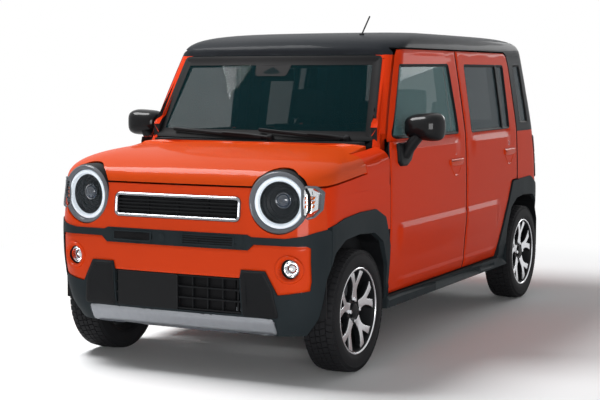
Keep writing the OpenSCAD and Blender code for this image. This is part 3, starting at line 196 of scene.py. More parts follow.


# The bonnet copy and the shaded copy are the same paint as ORANGE: their colours and coats are painted
# highlight and painted shade
ORANGE = painted("orange_paint", (208, 63, 14), (193, 51, 10), 0.28, 1.40)
BONNET_HIGHLIGHT_PAINT = painted("orange_paint_bonnet_highlight", (206, 71, 12), (191, 59, 9), 0.20, 1.40)
SHADED_PAINT = painted("orange_paint_shaded_copy", (214, 58, 16), (197, 46, 11), 0.12, 1.30)
BLACK = painted("black_paint", (36, 39, 43), (28, 31, 35), 0.08, 1.30)
CLADDING = plastic("grained_cladding", (41, 47, 50), (32, 38, 41), 0.6, 900.0, 0.0004, 0.06)
DARK = plastic("black_plastic", (22, 23, 25), (15, 16, 18), 0.5, 700.0, 0.0003)
SILVER = metal("silver_bar", (150, 153, 158), 0.4)
CHROME = metal("chrome", (228, 230, 233), 0.1)
ALLOY = metal("machined_alloy", (222, 223, 226), 0.24, 90.0)
STEEL = metal("steel", (120, 122, 126), 0.45)
IRON = plastic("cast_iron", (70, 70, 72), (52, 52, 54), 0.7, 260.0, 0.0008)
RUBBER = plastic("tyre_rubber", (31, 31, 33), (23, 23, 25), 0.72, 500.0, 0.0004)
# Near-black rubber for the seals, the bar and the screen's printed border; the same finish is painted shade
# in the front openings
BLACK_RUBBER_AND_SHADE = plastic("rubber_seal_and_painted_shade", (13, 13, 15), (8, 8, 10), 0.6, 600.0, 0.0002)
CABIN = plastic("cabin_plastic", (52, 53, 55), (40, 41, 43), 0.65, 800.0, 0.0004)
# The panes' tints are partly the glass's own tint and partly painted reflection; the side glass's pale teal
# stands for the sky that it reflects
CLEAR = window("clear_glass", (10, 40, 44), 0.46, 0.2)
SIDE_GLASS = window("side_glass", (104, 140, 142), 0.42, 0.06)
TINTED = window("tinted_glass", (72, 86, 92), 0.58, 0.3)
GREY = painted("grey_trim_paint", (104, 107, 112), (88, 91, 96), 0.4, 1.4)
LENS = window("clear_lens", (120, 130, 136), 0.03, 0.5)
# The pale ring's faint glow is a painted highlight, not a lamp that is lit
RING_HIGHLIGHT_GLOW = Finish("lamp_ring", Base_Color=linear(232, 238, 244), Roughness=0.25,
                  Emission_Color=linear(214, 228, 240), Emission_Strength=0.35)
BOWL_BLACK = plastic("lamp_bowl", (10, 12, 16), (6, 8, 11), 0.35, 700.0, 0.0002, 0.10)
GLOSS = painted("gloss_black", (20, 21, 23), (14, 15, 17), 0.4, 1.4)
PROJECTOR = Finish("projector_glass", Base_Color=linear(26, 40, 58), Roughness=0.03, Coat_Weight=1.0)
SATIN = metal("satin_chrome", (138, 140, 144), 0.24)
CLOTH = plastic("seat_cloth", (62, 62, 64), (46, 46, 48), 0.9, 1400.0, 0.0006)
REFLECTOR = metal("mirror_glass", (206, 210, 214), 0.03)
AMBER = plastic("amber_reflector", (226, 112, 34), (206, 88, 22), 0.2, 420.0, 0.0006)
RED = plastic("red_lens", (176, 18, 18), (150, 10, 12), 0.15, 420.0, 0.0004)
PAINTS = (ORANGE, BONNET_HIGHLIGHT_PAINT, SHADED_PAINT, BLACK)
print("finishes:", len(bpy.data.materials))

# %% [markdown]
# Meshes
# Pieces are made from arrays of points and faces. Normals come with the points
# where a surface is known exactly, so a coarse facet still shades smoothly.

# %% Mesh helpers
def piece(name, verts, faces, finish, body, normals=None):
    """A mesh object that rides on a body, or on none yet."""
    mesh = bpy.data.meshes.new(name)
    mesh.from_pydata([tuple(v) for v in verts], [], [tuple(f) for f in faces])
    mesh.materials.append(finish.material)
    mesh.validate()
    obj = bpy.data.objects.new(name, mesh)
    bpy.context.scene.collection.objects.link(obj)
    if normals is not None:
        mesh.polygons.foreach_set("use_smooth", [True] * len(mesh.polygons))
        mesh.normals_split_custom_set([tuple(n) for n in normals])
    if body:
        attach(obj, body)
    return obj


def between(low, high, share):
    return low + share * (high - low)


def mm(table):
    """Pairs of millimetres, written as text, as pairs of metres."""
    return [tuple(float(v) * MM for v in pair.split()) for pair in table.split(",")]


def around(count):
    """Angles of points set evenly round a circle."""
    return np.linspace(0, 2 * math.pi, count, endpoint=False)


def node_mesh(node):
    """A CAD node's triangles with its loose corners merged."""
    mesh = NODES[node].data
    mesh.calc_loop_triangles()
    points = np.empty(len(mesh.vertices) * 3)
    mesh.vertices.foreach_get("co", points)
    tris = np.empty(len(mesh.loop_triangles) * 3, np.int32)
    mesh.loop_triangles.foreach_get("vertices", tris)
    points, tris = points.reshape(-1, 3), tris.reshape(-1, 3)
    _, first, place = np.unique(np.round(points, 6), axis=0, return_index=True, return_inverse=True)
    points, tris = points[first], place.reshape(-1)[tris]
    keep = (tris[:, 0] != tris[:, 1]) & (tris[:, 1] != tris[:, 2]) & (tris[:, 2] != tris[:, 0])
    return points, tris[keep]


def sliced(points, tris, tag, axis, places):
    """Cuts triangles along planes, so that a large facet can follow a curve."""
    for at in places:
        side = points[:, axis] - at
        sign = np.where(np.abs(side) < 1e-6, 0, np.sign(side)).astype(int)
        signs = sign[tris]
        crossed = (signs.min(1) < 0) & (signs.max(1) > 0)
        if not crossed.any():
            continue
        cut, cut_sign, cut_tag = tris[crossed], signs[crossed], tag[crossed]
        on_plane = (cut_sign == 0).any(1)
        lone = np.where(on_plane, np.argmax(cut_sign == 0, axis=1),
                        np.argmax(cut_sign * cut_sign.sum(1, keepdims=True) < 0, axis=1))
        order = (lone[:, None] + np.arange(3)) % 3
        cut = np.take_along_axis(cut, order, 1)
        ends = np.concatenate([cut[on_plane][:, [1, 2]], cut[~on_plane][:, [0, 1]],
                               cut[~on_plane][:, [0, 2]]])
        edges, place = np.unique(np.sort(ends, 1), axis=0, return_inverse=True)
        a, b = points[edges[:, 0]], points[edges[:, 1]]
        share = (at - a[:, axis]) / (b[:, axis] - a[:, axis])
        fresh = len(points) + place.reshape(-1)
        points = np.concatenate([points, a + (b - a) * share[:, None]])
        one, two = int(on_plane.sum()), int((~on_plane).sum())
        mid, p, q = fresh[:one], fresh[one:one + two], fresh[one + two:]
        c1, c2 = cut[on_plane], cut[~on_plane]
        tris = np.concatenate([tris[~crossed],
                               np.stack([c1[:, 0], c1[:, 1], mid], 1), np.stack([c1[:, 0], mid, c1[:, 2]], 1),
                               np.stack([c2[:, 0], p, q], 1), np.stack([p, c2[:, 1], c2[:, 2]], 1),
                               np.stack([p, c2[:, 2], q], 1)])
        t1, t2 = cut_tag[on_plane], cut_tag[~on_plane]
        tag = np.concatenate([tag[~crossed], t1, t1, t2, t2, t2])
    return points, tris, tag


print("mesh helpers ready")

# %% [markdown]
# The body's surface
# The shell is a stack of plan sections: each has a half width, a nose, a tail
# and round corners. CAD joins a few sections with flat bands. Here the same
# columns run through a smooth curve and give many sections, so the panels can be
# laid on the surface that those bands only stand for.

# %% Plan sections
HALF, NOSE, TAIL = 0.7305, -1.6975, 1.6975
SILL, BELT, HEADER, ROOF = 0.215, 1.060, 1.487, 1.625
BONNET_REAR, BONNET_BASE, BONNET_CROWN = NOSE + 0.727, 0.886, 1.056
BONNET_RADIUS, BONNET_BOW, BONNET_PEAK = 0.185, 0.016, 0.190
# powers of the curves that close the roof and the bonnet: width, front, rear or rear width
CROWN_POWERS, BONNET_POWERS = (4.6, 2.9, 4.5), (3.6, 2.5, 7)
CROWN_BACK = 0.060
SIDE_BOW = 7 * MM
# share of the height, side inset, nose inset, tail inset, front radius, rear radius, front bow
LOWER = np.array([
    [0.00, 62, 58, 58, 215, 270, 16], [0.11, 25, 24, 22, 205, 270, 16], [0.28, 9, 8, 6, 185, 270, 16],
    [0.41, 3, 5, 2, 180, 270, 16], [0.53, 0, 8, 5, 180, 270, 16], [0.65, 0, 14, 14, 190, 270, 16],
    [0.76, 1, 26, 26, 200, 270, 16], [0.85, 3, 48, 38, 200, 270, 16], [1.00, 9, 97, 62, 200, 270, 16]])
CABIN_ROWS = np.array([
    [0.00, 9, 742, 62, 130, 270, 84], [0.25, 24, 803, 78, 120, 262, 78], [0.50, 41, 868, 96, 110, 252, 72],
    [0.75, 58, 934, 116, 105, 240, 66], [1.00, 76, 1001, 138, 100, 225, 60]])
TAIL_BOW = 20 * MM


def eased(table, share):
    """One row of a table between its rows, on a curve that never overshoots."""
    x, y = table[:, 0], table[:, 1:]
    step, slope = np.diff(x), np.diff(y, axis=0) / np.diff(x)[:, None]
    tangent = np.concatenate([slope[:1], np.where(slope[:-1] * slope[1:] > 0,
                              2 * slope[:-1] * slope[1:] / (slope[:-1] + slope[1:] + 1e-12), 0), slope[-1:]])
    i = min(max(np.searchsorted(x, share) - 1, 0), len(step) - 1)
    u = (share - x[i]) / step[i]
    return ((1 + 2 * u) * (1 - u) ** 2 * y[i] + u * (1 - u) ** 2 * step[i] * tangent[i]
            + u * u * (3 - 2 * u) * y[i + 1] + u * u * (u - 1) * step[i] * tangent[i + 1])


def plan(width, front, rear, front_r, rear_r, front_bow, rear_bow, inset=0.0, rear_width=None):
    """Half a plan section from the middle of the nose to the middle of the tail."""
    w, f, b = width - inset, front + inset, rear - inset
    wr = w if rear_width is None else rear_width - inset
    rr = max(rear_r - inset, 0.004)
    rf = min(max(front_r - inset, 0.008), max(b - f - front_bow - 0.010, 0.008))
    af, ar = math.atan(2 * front_bow / (w - rf)), math.atan(2 * rear_bow / (w - rr))
    xf, xr = w - rf + rf * math.sin(af), wr - rr + rr * math.sin(ar)
    front_c = np.array([w - rf, f + front_bow + rf * math.cos(af)])
    rear_c = np.array([wr - rr, b - rear_bow - rr * math.cos(ar)])
    u = np.linspace(0, 1, 10, endpoint=False)[:, None]
    angle = np.linspace(af - math.pi / 2, 0, 16)[:, None]
    nose = np.hstack([xf * u, f + front_bow * u * u])
    corner = front_c + rf * np.hstack([np.cos(angle), np.sin(angle)])
    corner[:, 0] -= SIDE_BOW * (corner[:, 0] - xf) / (w - xf + MM)
    s = np.linspace(-1, 1, 34)[1:-1, None]
    side = np.hstack([(w + wr) / 2 + (wr - w) / 2 * s - SIDE_BOW * s * s,
                      (front_c[1] + rear_c[1]) / 2 + (rear_c[1] - front_c[1]) / 2 * s])
    angle = np.linspace(0, math.pi / 2 - ar, 16)[:, None]
    back = rear_c + rr * np.hstack([np.cos(angle), np.sin(angle)])
    back[:, 0] -= SIDE_BOW * (back[:, 0] - xr) / (wr - xr + MM)
    u = np.linspace(1, 0, 11)[1:, None]
    tail = np.hstack([xr * u, b - rear_bow * u * u])
    return np.concatenate([nose, corner, side, back, tail])


def superellipse(k, n):
    return max(1 - k ** n, 0.0) ** (1 / n)


print("section tables:", len(LOWER), "rows below the belt,", len(CABIN_ROWS), "above it")

# %% [markdown]
# Surface
# Rings of points, one over the other, make a surface. Two questions are put to it
# later: which place is nearest to a point, and which place a straight look from one
# side meets. A tree of its faces answers both.

# %% Skin
class Skin:
    """A smooth surface through rings of points, with the nearest place on it and its normal there."""

    def __init__(self, rings, inward=False):
        rings = np.array([np.concatenate([r, r[-2:0:-1] * [-1, 1, 1]]) for r in rings])
        rows, count = rings.shape[:2]
        self.points = rings.reshape(-1, 3)
        row, col = np.mgrid[0:rows - 1, 0:count]
        a, b = row * count + col, row * count + (col + 1) % count
        self.quads = np.stack([a, b, b + count, a + count], -1).reshape(-1, 4)
        p = self.points[self.quads]
        flat = np.cross(p[:, 2] - p[:, 0], p[:, 3] - p[:, 1])
        self.normals = np.zeros_like(self.points)
        for corner in range(4):
            np.add.at(self.normals, self.quads[:, corner], flat)
        self.normals /= np.linalg.norm(self.normals, axis=1, keepdims=True) + 1e-12
        if inward:
            self.normals *= -1
        self.tree = BVHTree.FromPolygons([Vector(v) for v in self.points], self.quads.tolist())

    def nearest(self, points, reach=9.0):
        """For each point: its place on the surface, the normal and the gap, endless out of reach."""
        found = [self.tree.find_nearest(p, reach) for p in map(Vector, points)]
        gap = np.array([f[3] if f[0] is not None else np.inf for f in found])
        place = np.array([f[0] if f[0] is not None else (0, 0, 0) for f in found], float).reshape(-1, 3)
        corners = self.quads[[f[2] if f[0] is not None else 0 for f in found]]
        weight = 1 / (np.linalg.norm(self.points[corners] - place[:, None], axis=2) + 1e-7) ** 2
        normal = (self.normals[corners] * weight[..., None]).sum(1)
        return place, normal / np.linalg.norm(normal, axis=1, keepdims=True), gap

    def seen(self, u, v, view):
        """The place that a straight look at the car meets, from the front, rear, left or right."""
        start, way = {"front": ((u, -4, v), (0, 1, 0)), "rear": ((u, 4, v), (0, -1, 0)),
                      "left": ((4, u, v), (-1, 0, 0)), "right": ((-4, u, v), (1, 0, 0))}[view]
        place, normal, _ = self.nearest([self.tree.ray_cast(Vector(start), Vector(way))[0]])
        return place[0], normal[0]


print("surface class ready")

# %% Rings of the body
def ring(section, z):
    return np.hstack([section, np.full((len(section), 1), z)])


def lower_rings(inset=0.0):
    rings = []
    for share in np.linspace(0, 1, 60):
        side, nose, tail, rf, rr, bow = eased(LOWER, share) * MM
        section = plan(HALF - side, NOSE + nose, TAIL - tail, rf, rr, bow, TAIL_BOW, inset)
        rings.append(ring(section, between(SILL, BELT, share)))
    return rings


def cabin_row(share):
    side, nose, tail, rf, rr, bow = eased(CABIN_ROWS, share) * MM
    return HALF - side, NOSE + nose, TAIL - tail, rf, rr, bow


def cabin_ring(share, inset=0.0):
    return ring(plan(*cabin_row(share), TAIL_BOW, inset), between(BELT, HEADER, share))


def cabin_rings(inset=0.0, low=0.0):
    """The cabin from belt to header with the roof's crown over it, which can be set lower."""
    rings = [cabin_ring(share, inset) for share in np.linspace(0, 1, 40)]
    w, f, b, rf, rr, bow = cabin_row(1.0)
    mid = (f + b) / 2 + CROWN_BACK
    for k in list(1 - (1 - np.linspace(0.02, 0.995, 44)) ** 1.6) + [0.9999]:
        shrink, to_front, to_rear = (superellipse(k, n) for n in CROWN_POWERS)
        wide, front, rear = (w - 0.014 * k) * shrink, between(mid, f, to_front), between(mid, b, to_rear)
        radii = min(rf + 0.120 * k, 0.6 * wide), min(rr + 0.060 * k, 0.6 * wide)
        section = plan(wide, front, rear, *radii, bow * shrink, TAIL_BOW * shrink, inset)
        rings.append(ring(section, between(HEADER, ROOF, k) - low))
    top = rings[-1].copy()
    top[:, 0] *= 0.02
    return rings + [top]


def bonnet_rings(rear):
    """The bonnet's flank and crown, cut off at a rear edge."""
    w, f, peak = HALF - 2 * MM, NOSE + 30 * MM, BONNET_REAR + BONNET_PEAK
    flank = plan(w, f, rear, BONNET_RADIUS, 0.005, BONNET_BOW, 0, 0, w)
    rows = [ring(flank, z) for z in np.linspace(BONNET_BASE - 0.04, BONNET_BASE, 5)]
    for k in 1 - (1 - np.linspace(0.01, 0.99, 60)) ** 1.5:
        wide, to_front, rear_wide = (superellipse(k, n) for n in BONNET_POWERS)
        front, radius, bow = between(peak, f, to_front), BONNET_RADIUS + 0.060 * k, BONNET_BOW + 0.020 * k
        if front < rear - 0.03:
            section = plan(w * wide, front, rear, radius, 0.005, bow, 0, 0, w * rear_wide)
            rows.append(ring(section, between(BONNET_BASE, BONNET_CROWN, k)))
    return rows


def cowl_rings():
    """The slope from the bonnet's rear edge up to the foot of the cabin."""
    _, f, b, rf, rr, bow = cabin_row(0)
    foot = ring(plan(HALF - 3 * MM, f - 0.066, b, rf + 0.010, rr, bow, TAIL_BOW), BELT - 0.130)
    rows = [foot * (1 - u) + cabin_ring(0) * u for u in np.linspace(0, 1, 16)]
    return rows + [cabin_ring(share) for share in np.linspace(0.02, 0.25, 10)]


LOWER_SKIN, CABIN_SKIN = Skin(lower_rings()), Skin(cabin_rings())
print("body surface:", len(LOWER_SKIN.quads) + len(CABIN_SKIN.quads), "quads")

# %% [markdown]
# Laying the panels
# Each CAD panel already has the right outline, windows and thickness. A copy is
# cut along a lattice of planes, and every corner of its outer face moves to the
# nearest place on the smooth surface and takes the normal there. Small forms,
# such as the ledges on the doors, are a height over that surface, and the normal
# tilts with the slope of that height. Painted faces that look into the cabin are
# marked, and the paint turns them to dark lining.

# %% Panel helpers
REACH, ALIGNED, SMALLEST = 18 * MM, 0.8, 1e-10
COARSE = (45 * MM, 45 * MM, 32 * MM)
CABIN_LOW, CABIN_FRONT, TAIL_ZONE, TOP_ZONE, FACING = 0.3, -0.9, 1.3, 1.0, 0.5


def facets(points, tris):
    """Each triangle's normal, as long as twice its area."""
    a, b, c = points[tris].transpose(1, 0, 2)
    return np.cross(b - a, c - a)


def outer_faces(points, tris, skins):
    """For each triangle the number of the surface that it stands for, or -1."""
    flat = facets(points, tris)
    flat /= np.linalg.norm(flat, axis=1, keepdims=True) + 1e-15
    tag, best = np.full(len(tris), -1), np.full(len(tris), REACH)
    for number, skin in enumerate(skins):
        _, normal, gap = skin.nearest(points[tris].mean(1), REACH)
        closer = (gap < best) & ((normal * flat).sum(1) > ALIGNED)
        tag[closer], best[closer] = number, gap[closer]
    return tag


def latticed(points, tris, tag, lattice, extra):
    """The triangles cut along the planes of a lattice and a few extra ones."""
    for axis in range(3):
        low, high = points[:, axis].min(), points[:, axis].max()
        steps = np.arange(math.ceil(low / lattice[axis]), high / lattice[axis]) * lattice[axis]
        steps = np.unique(np.concatenate([steps, [at for a, at in extra if a == axis]]))
        points, tris, tag = sliced(points, tris, tag, axis, steps)
    return points, tris, tag


def raised(relief, places, normals, lift, step=1.5 * MM):
    """Places moved up by a relief, with normals that tilt with its slope."""
    rise = np.stack([(relief(places + e) - relief(places - e)) / (2 * step) for e in np.eye(3) * step], 1)
    rise -= normals * (rise * normals).sum(1, keepdims=True)
    tilted = normals - rise * lift
    return places + normals * relief(places)[:, None], tilted / np.linalg.norm(tilted, axis=1, keepdims=True)


def into_cabin(flat, middle):
    """Faces in the cabin that are neither its outer side nor its tail nor its top."""
    outer = flat[:, 0] * np.sign(middle[:, 0]) >= FACING
    tail = (flat[:, 1] > FACING) & (middle[:, 1] > TAIL_ZONE)
    top = (flat[:, 2] > FACING) & (middle[:, 2] > TOP_ZONE)
    return ~(outer | tail | top) & (middle[:, 2] > CABIN_LOW) & (middle[:, 1] > CABIN_FRONT)


print("panel helpers ready")

# %% Lay a panel
def laid(node, finish, body, skins, lattice=COARSE, relief=None, extra=(), lift=1.0, still=None):
    """A panel on smooth surfaces in place of its CAD node. Points in the zone "still" stay where they are."""
    points, tris = node_mesh(node)
    points, tris, tag = latticed(points, tris, outer_faces(points, tris, skins), lattice, extra)
    moved, tilt, shared = points.copy(), np.zeros((len(skins), len(points), 3)), np.zeros(len(points), bool)
    for number, skin in enumerate(skins):
        rows = np.unique(tris[tag == number])
        places, normals, gap = skin.nearest(points[rows], REACH * 1.4)
        rows, places, normals = rows[gap < 1], places[gap < 1], normals[gap < 1]
        if relief is not None and len(rows):
            places, normals = raised(relief, places, normals, lift)
        moved[rows] = np.where(shared[rows][:, None], (moved[rows] + places) / 2, places)
        shared[rows], tilt[number, rows] = True, normals
    if still is not None:
        moved = np.where(still(points)[:, None], points, moved)
    flat = facets(moved, tris)
    size = np.linalg.norm(flat, axis=1)
    keep = size > SMALLEST
    tris, tag, flat = tris[keep], tag[keep], flat[keep] / size[keep][:, None]
    normals = tilt[tag[:, None], tris]
    known = (tag[:, None, None] >= 0) & (np.abs(normals).sum(-1, keepdims=True) > 0)
    normals = np.where(known, normals, flat[:, None]).reshape(-1, 3)
    obj = piece(node + "_panel", moved, tris, finish, body, normals)
    if finish in PAINTS and len(obj.data.polygons) == len(tris):
        inside = obj.data.attributes.new("inside", "FLOAT", "FACE")
        lined = (tag < 0) & into_cabin(flat, moved[tris].mean(1))
        inside.data.foreach_set("value", lined.astype(np.float32))
    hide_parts(node)
    return obj


print("panels can be laid")

# %% [markdown]
# Reliefs
# A door has a soft shoulder under its window, a long ledge at half height, a
# crease near the sill and a rolled edge. The bonnet has a shallow hollow towards
# the windscreen, and the bumper's fields sink a little at their edges.

# %% Reliefs
def ramp(x, start, end):
    """From 0 before start to 1 after end, in a straight line."""
    return np.clip((x - start) / (end - start), 0, 1)


def soft(x, start, end):
    """From 0 before start to 1 after end, without a corner."""
    t = np.clip((x - start) / (end - start), 0, 1)
    return t * t * (3 - 2 * t)


def edge_distance(points, outline):
    """Distance of flat points to the nearest side of an outline."""
    a = np.array(outline)
    b = np.roll(a, -1, 0)
    along = ((points[:, None] - a) * (b - a)).sum(-1) / ((b - a) ** 2).sum(-1)
    foot = a + np.clip(along, 0, 1)[..., None] * (b - a)
    return np.linalg.norm(points[:, None] - foot, axis=-1).min(1)


FRONT_AXLE, REAR_AXLE, AXLE_HEIGHT = -1.2405, 1.2195, 0.2895
FRONT_DOOR = np.array(mm("-883 312, -883 1040, -869 1100, -654 1479, "
                         "-600 1515, -520 1521, 178 1521, 178 312"))
REAR_DOOR = np.array(mm("179 312, 179 1521, 1016 1521, 1064 1501, 1082 1431, 1086 1060, 1086 750, 986 745, "
                        "870 560, 732 312"))
SHOULDERS = ((-0.86, -0.74, 0.000, 0.100), (0.250, 0.340, 0.870, 0.970))
ROLL, ROLL_DEPTH, DOOR_GAP = 16 * MM, 2.5 * MM, 4.5 * MM
DOOR_LIFT, DOOR_SPLIT = 3.5, 0.1785
SKID = np.array(mm("-500 216, 500 216, 500 296, -500 296"))
HALF_FIELD = mm("338 476, 346 514, 464 514, 522 408, 660 430, 668 470, 668 623, 652 631, 408 631, 378 604")
LOWER_FIELD = np.array(HALF_FIELD + [[-x, z] for x, z in HALF_FIELD[::-1]])
SLOT_BAND, SLOT_NOSE = (0.602, 0.610, 0.668, 0.676), -1.6
FOOT_HALF, FOOT_REAR, FOOT_LOW, FOOT_HIGH = 0.70, -0.74, 1.03, 1.17


def rolled(edge, depth, width):
    """How far a face sinks towards its edge."""
    return -depth * np.clip(1 - edge / width, 0, 1) ** 2


def door_relief(p):
    y, z = p[:, 1], p[:, 2]
    shoulder = sum(soft(y, a, b) * (1 - soft(y, c, d)) for a, b, c, d in SHOULDERS)
    height = shoulder * (3 * MM * soft(z, 0.900, 1.016) - 8 * MM * ramp(z, 1.018, 1.056)
                         + 5 * MM * soft(z, 1.058, 1.14))
    ledge = soft(y, -0.80, -0.73) * (1 - soft(y, 0.70, 0.76))
    height += ledge * 5.5 * MM * (1 - ramp(z, 0.629, 0.658)) * soft(z, 0.460, 0.628)
    crease = soft(y, -0.78, -0.66) * (1 - soft(y, 0.60, 0.72))
    height += crease * 3 * MM * (1 - ramp(z, 0.368, 0.386)) * soft(z, 0.325, 0.366)
    edge = np.where(y < DOOR_SPLIT, edge_distance(p[:, 1:], FRONT_DOOR), edge_distance(p[:, 1:], REAR_DOOR))
    return height + rolled(edge - DOOR_GAP, ROLL_DEPTH, ROLL)


def bonnet_relief(p):
    x, y = np.abs(p[:, 0]), p[:, 1]
    front = -1.28 - 0.05 * (x / 0.5) ** 2 + 0.30 * np.clip(x / 0.55, 0, 1.2) ** 3
    hollow = soft(y, front, front + 0.07) * (1 - soft(x, 0.44, 0.54))
    return -7 * MM * hollow


def bumper_relief(p):
    return rolled(edge_distance(p[:, [0, 2]], LOWER_FIELD), 4 * MM, 14 * MM)


def skid_relief(p):
    return rolled(edge_distance(p[:, [0, 2]], SKID), 9 * MM, 22 * MM)


def slot_relief(p):
    """The band under the grille is sunk, so that its louvres stay behind the bumper's face."""
    x, z = np.abs(p[:, 0]), p[:, 2]
    band = soft(z, *SLOT_BAND[:2]) * (1 - soft(z, *SLOT_BAND[2:])) * (1 - soft(x, 0.352, 0.372))
    return -7 * MM * band * (p[:, 1] < SLOT_NOSE)


def pillar_foot(p):
    """Where the pillar meets the cowl, two surfaces compete, so the CAD faces stay as they are."""
    x, y, z = np.abs(p[:, 0]), p[:, 1], p[:, 2]
    return (x < FOOT_HALF) & (y < FOOT_REAR) & (z > FOOT_LOW) & (z < FOOT_HIGH)


print("reliefs ready")

# %% Painted panels
FINE_SIDE, FINE_TOP = (1.0, 36 * MM, 24 * MM), (22 * MM, 22 * MM, 40 * MM)
FINE_CORNER, FINE_NOSE = (30 * MM, 25 * MM, 20 * MM), (15 * MM, 45 * MM, 12 * MM)
LEDGES = [(2, z) for z in (0.627, 0.631, 0.644, 0.656, 0.660, 0.366, 0.370, 0.384, 0.388,
                           1.016, 1.020, 1.038, 1.054, 1.058)]
SIDES = {"left": 1, "right": -1}
BODY_SKINS, FENDER_REAR = [LOWER_SKIN, CABIN_SKIN], -0.823
COWL_SKIN, REAR_SKIN = Skin(cowl_rings()), Skin(lower_rings(-2 * MM))
laid("roof", BLACK, "body", [CABIN_SKIN])
laid("body_sides", SHADED_PAINT, "body", BODY_SKINS, still=pillar_foot)
laid("rear_pillars", BLACK, "body", BODY_SKINS)
laid("fenders", SHADED_PAINT, "body", [LOWER_SKIN, Skin(bonnet_rings(FENDER_REAR)), COWL_SKIN], FINE_CORNER)
laid("bonnet", BONNET_HIGHLIGHT_PAINT, "bonnet", [Skin(bonnet_rings(BONNET_REAR))], FINE_TOP, bonnet_relief)
laid("tailgate", SHADED_PAINT, "tailgate", BODY_SKINS)
laid("rear_bumper", SHADED_PAINT, "body", [REAR_SKIN])
laid("front_bumper", ORANGE, "body", [LOWER_SKIN, Skin(lower_rings(24.15 * MM))], FINE_NOSE,
     bumper_relief)
for side in SIDES:
    for row in ("front", "rear"):
        door = f"door_{row}_{side}"
        laid(door, SHADED_PAINT, door, BODY_SKINS, FINE_SIDE, door_relief, LEDGES, DOOR_LIFT)
print("painted panels laid")

# %% Cladding and glass
CLAD_SKIN, CLAD_FRONT, SLOT_SKIN, SKID_SKIN = (Skin(lower_rings(-d * MM)) for d in (7, 5.2, -1.8, 16))
FINE_CLAD, FINE_SKID = (24 * MM, 45 * MM, 14 * MM), (20 * MM, 45 * MM, 5 * MM)
laid("bumper_cladding", CLADDING, "body", [CLAD_FRONT], FINE_CLAD, slot_relief,
     [(2, z) for z in SLOT_BAND])
laid("skid_bar", SILVER, "body", [SKID_SKIN], FINE_SKID, skid_relief)
laid("arch_cladding", CLADDING, "body", [CLAD_SKIN])
SCREEN_SKIN, SCREEN_BACK = Skin(cabin_rings(2 * MM, 2 * MM)), Skin(cabin_rings(7 * MM, 7 * MM), inward=True)
PANE_SKIN, PANE_BACK = Skin(cabin_rings(9 * MM, 100 * MM)), Skin(cabin_rings(14 * MM, 200 * MM), inward=True)
laid("windscreen", CLEAR, "body", [SCREEN_SKIN, SCREEN_BACK])
laid("quarter_glass", TINTED, "body", [PANE_SKIN, PANE_BACK])
laid("rear_glass", TINTED, "tailgate", [PANE_SKIN, PANE_BACK])
for side in SIDES:
    laid(f"glass_front_{side}", SIDE_GLASS, f"door_front_{side}", [PANE_SKIN, PANE_BACK])
    laid(f"glass_rear_{side}", TINTED, f"door_rear_{side}", [PANE_SKIN, PANE_BACK])
print("cladding and glass laid")

# %% [markdown]
# Shapes from rows of points
# Most small pieces are rows of points joined by faces: a lamp is a profile turned
# about its axis, and a seal or a trim strip is an outline laid on the body and
# built up in layers. Shape gathers such rows and makes one clean mesh of them.

# %% Shape
class Shape:
    def __init__(self):
        self.points, self.faces = [], []

    def rows(self, rows, loop=True, wrap=False, caps=(False, False)):
        """Joins rows of the same length. Loop closes each row, wrap joins the last row to the first."""
        start, count = len(self.points), len(rows[0])
        for row in rows:
            self.points.extend(tuple(map(float, p)) for p in row)
        for r in range(len(rows) if wrap else len(rows) - 1):
            for c in range(count if loop else count - 1):
                a, b = r * count, (r + 1) % len(rows) * count
                d = (c + 1) % count
                self.faces.append((start + a + c, start + a + d, start + b + d, start + b + c))
        if caps[0]:
            self.faces.append(tuple(range(start + count - 1, start - 1, -1)))
        if caps[1]:
            self.faces.append(tuple(range(start + (len(rows) - 1) * count, start + len(rows) * count)))
        return self

    def turned(self, profile, place, segments=64):
        """A closed profile of radius and height, turned about the Z axis of a place."""
        rows = [[place @ Vector((r * math.cos(a), r * math.sin(a), h)) for a in around(segments)]
                for r, h in profile]
        return self.rows(rows, wrap=True)

    def arc(self, profile, place, start, end, steps=72):
        """A closed profile turned through part of a circle, with closed ends."""
        rows = [[place @ Vector((r * math.cos(a), r * math.sin(a), h)) for r, h in profile]
                for a in np.radians(np.linspace(start, end, steps))]
        return self.rows(rows, caps=(True, True))

    def tube(self, path, radius, segments=10, flat=1.0):
        """A round bar along points, with closed ends."""
        path = [Vector(p) for p in path]
        rows = []
        for i, p in enumerate(path):
            way = (path[min(i + 1, len(path) - 1)] - path[max(i - 1, 0)]).normalized()
            side = way.cross(Vector((0, 0, 1)) if abs(way.z) < 0.9 else Vector((0, 1, 0))).normalized()
            up = side.cross(way)
            r = radius[i] if isinstance(radius, (list, tuple)) else radius
            rows.append([p + side * (r * math.cos(a)) + up * (r * flat * math.sin(a))
                         for a in around(segments)])
        return self.rows(rows, caps=(True, True))

    def slab(self, outline, layers, place):
        """A flat outline built up in layers of inset and height in a place, closed on both faces."""
        rows = [[place @ Vector((u, v, h)) for u, v in inset(outline, d)] for d, h in layers]
        return self.rows(rows, caps=(True, True))

    def made(self, name, finish, body, slot, replaces=(), smooth=38):
        obj = piece(name, self.points, self.faces, finish, body)
        clean = bmesh.new()
        clean.from_mesh(obj.data)
        bmesh.ops.remove_doubles(clean, verts=clean.verts, dist=2e-6)
        bmesh.ops.dissolve_degenerate(clean, edges=clean.edges, dist=1e-6)
        bmesh.ops.recalc_face_normals(clean, faces=clean.faces)
        clean.to_mesh(obj.data)
        clean.free()
        obj.data.polygons.foreach_set("use_smooth", [True] * len(obj.data.polygons))
        obj.data.set_sharp_from_angle(angle=math.radians(smooth))
        for node in replaces:
            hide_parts(node)
        return obj


print("Shape ready")

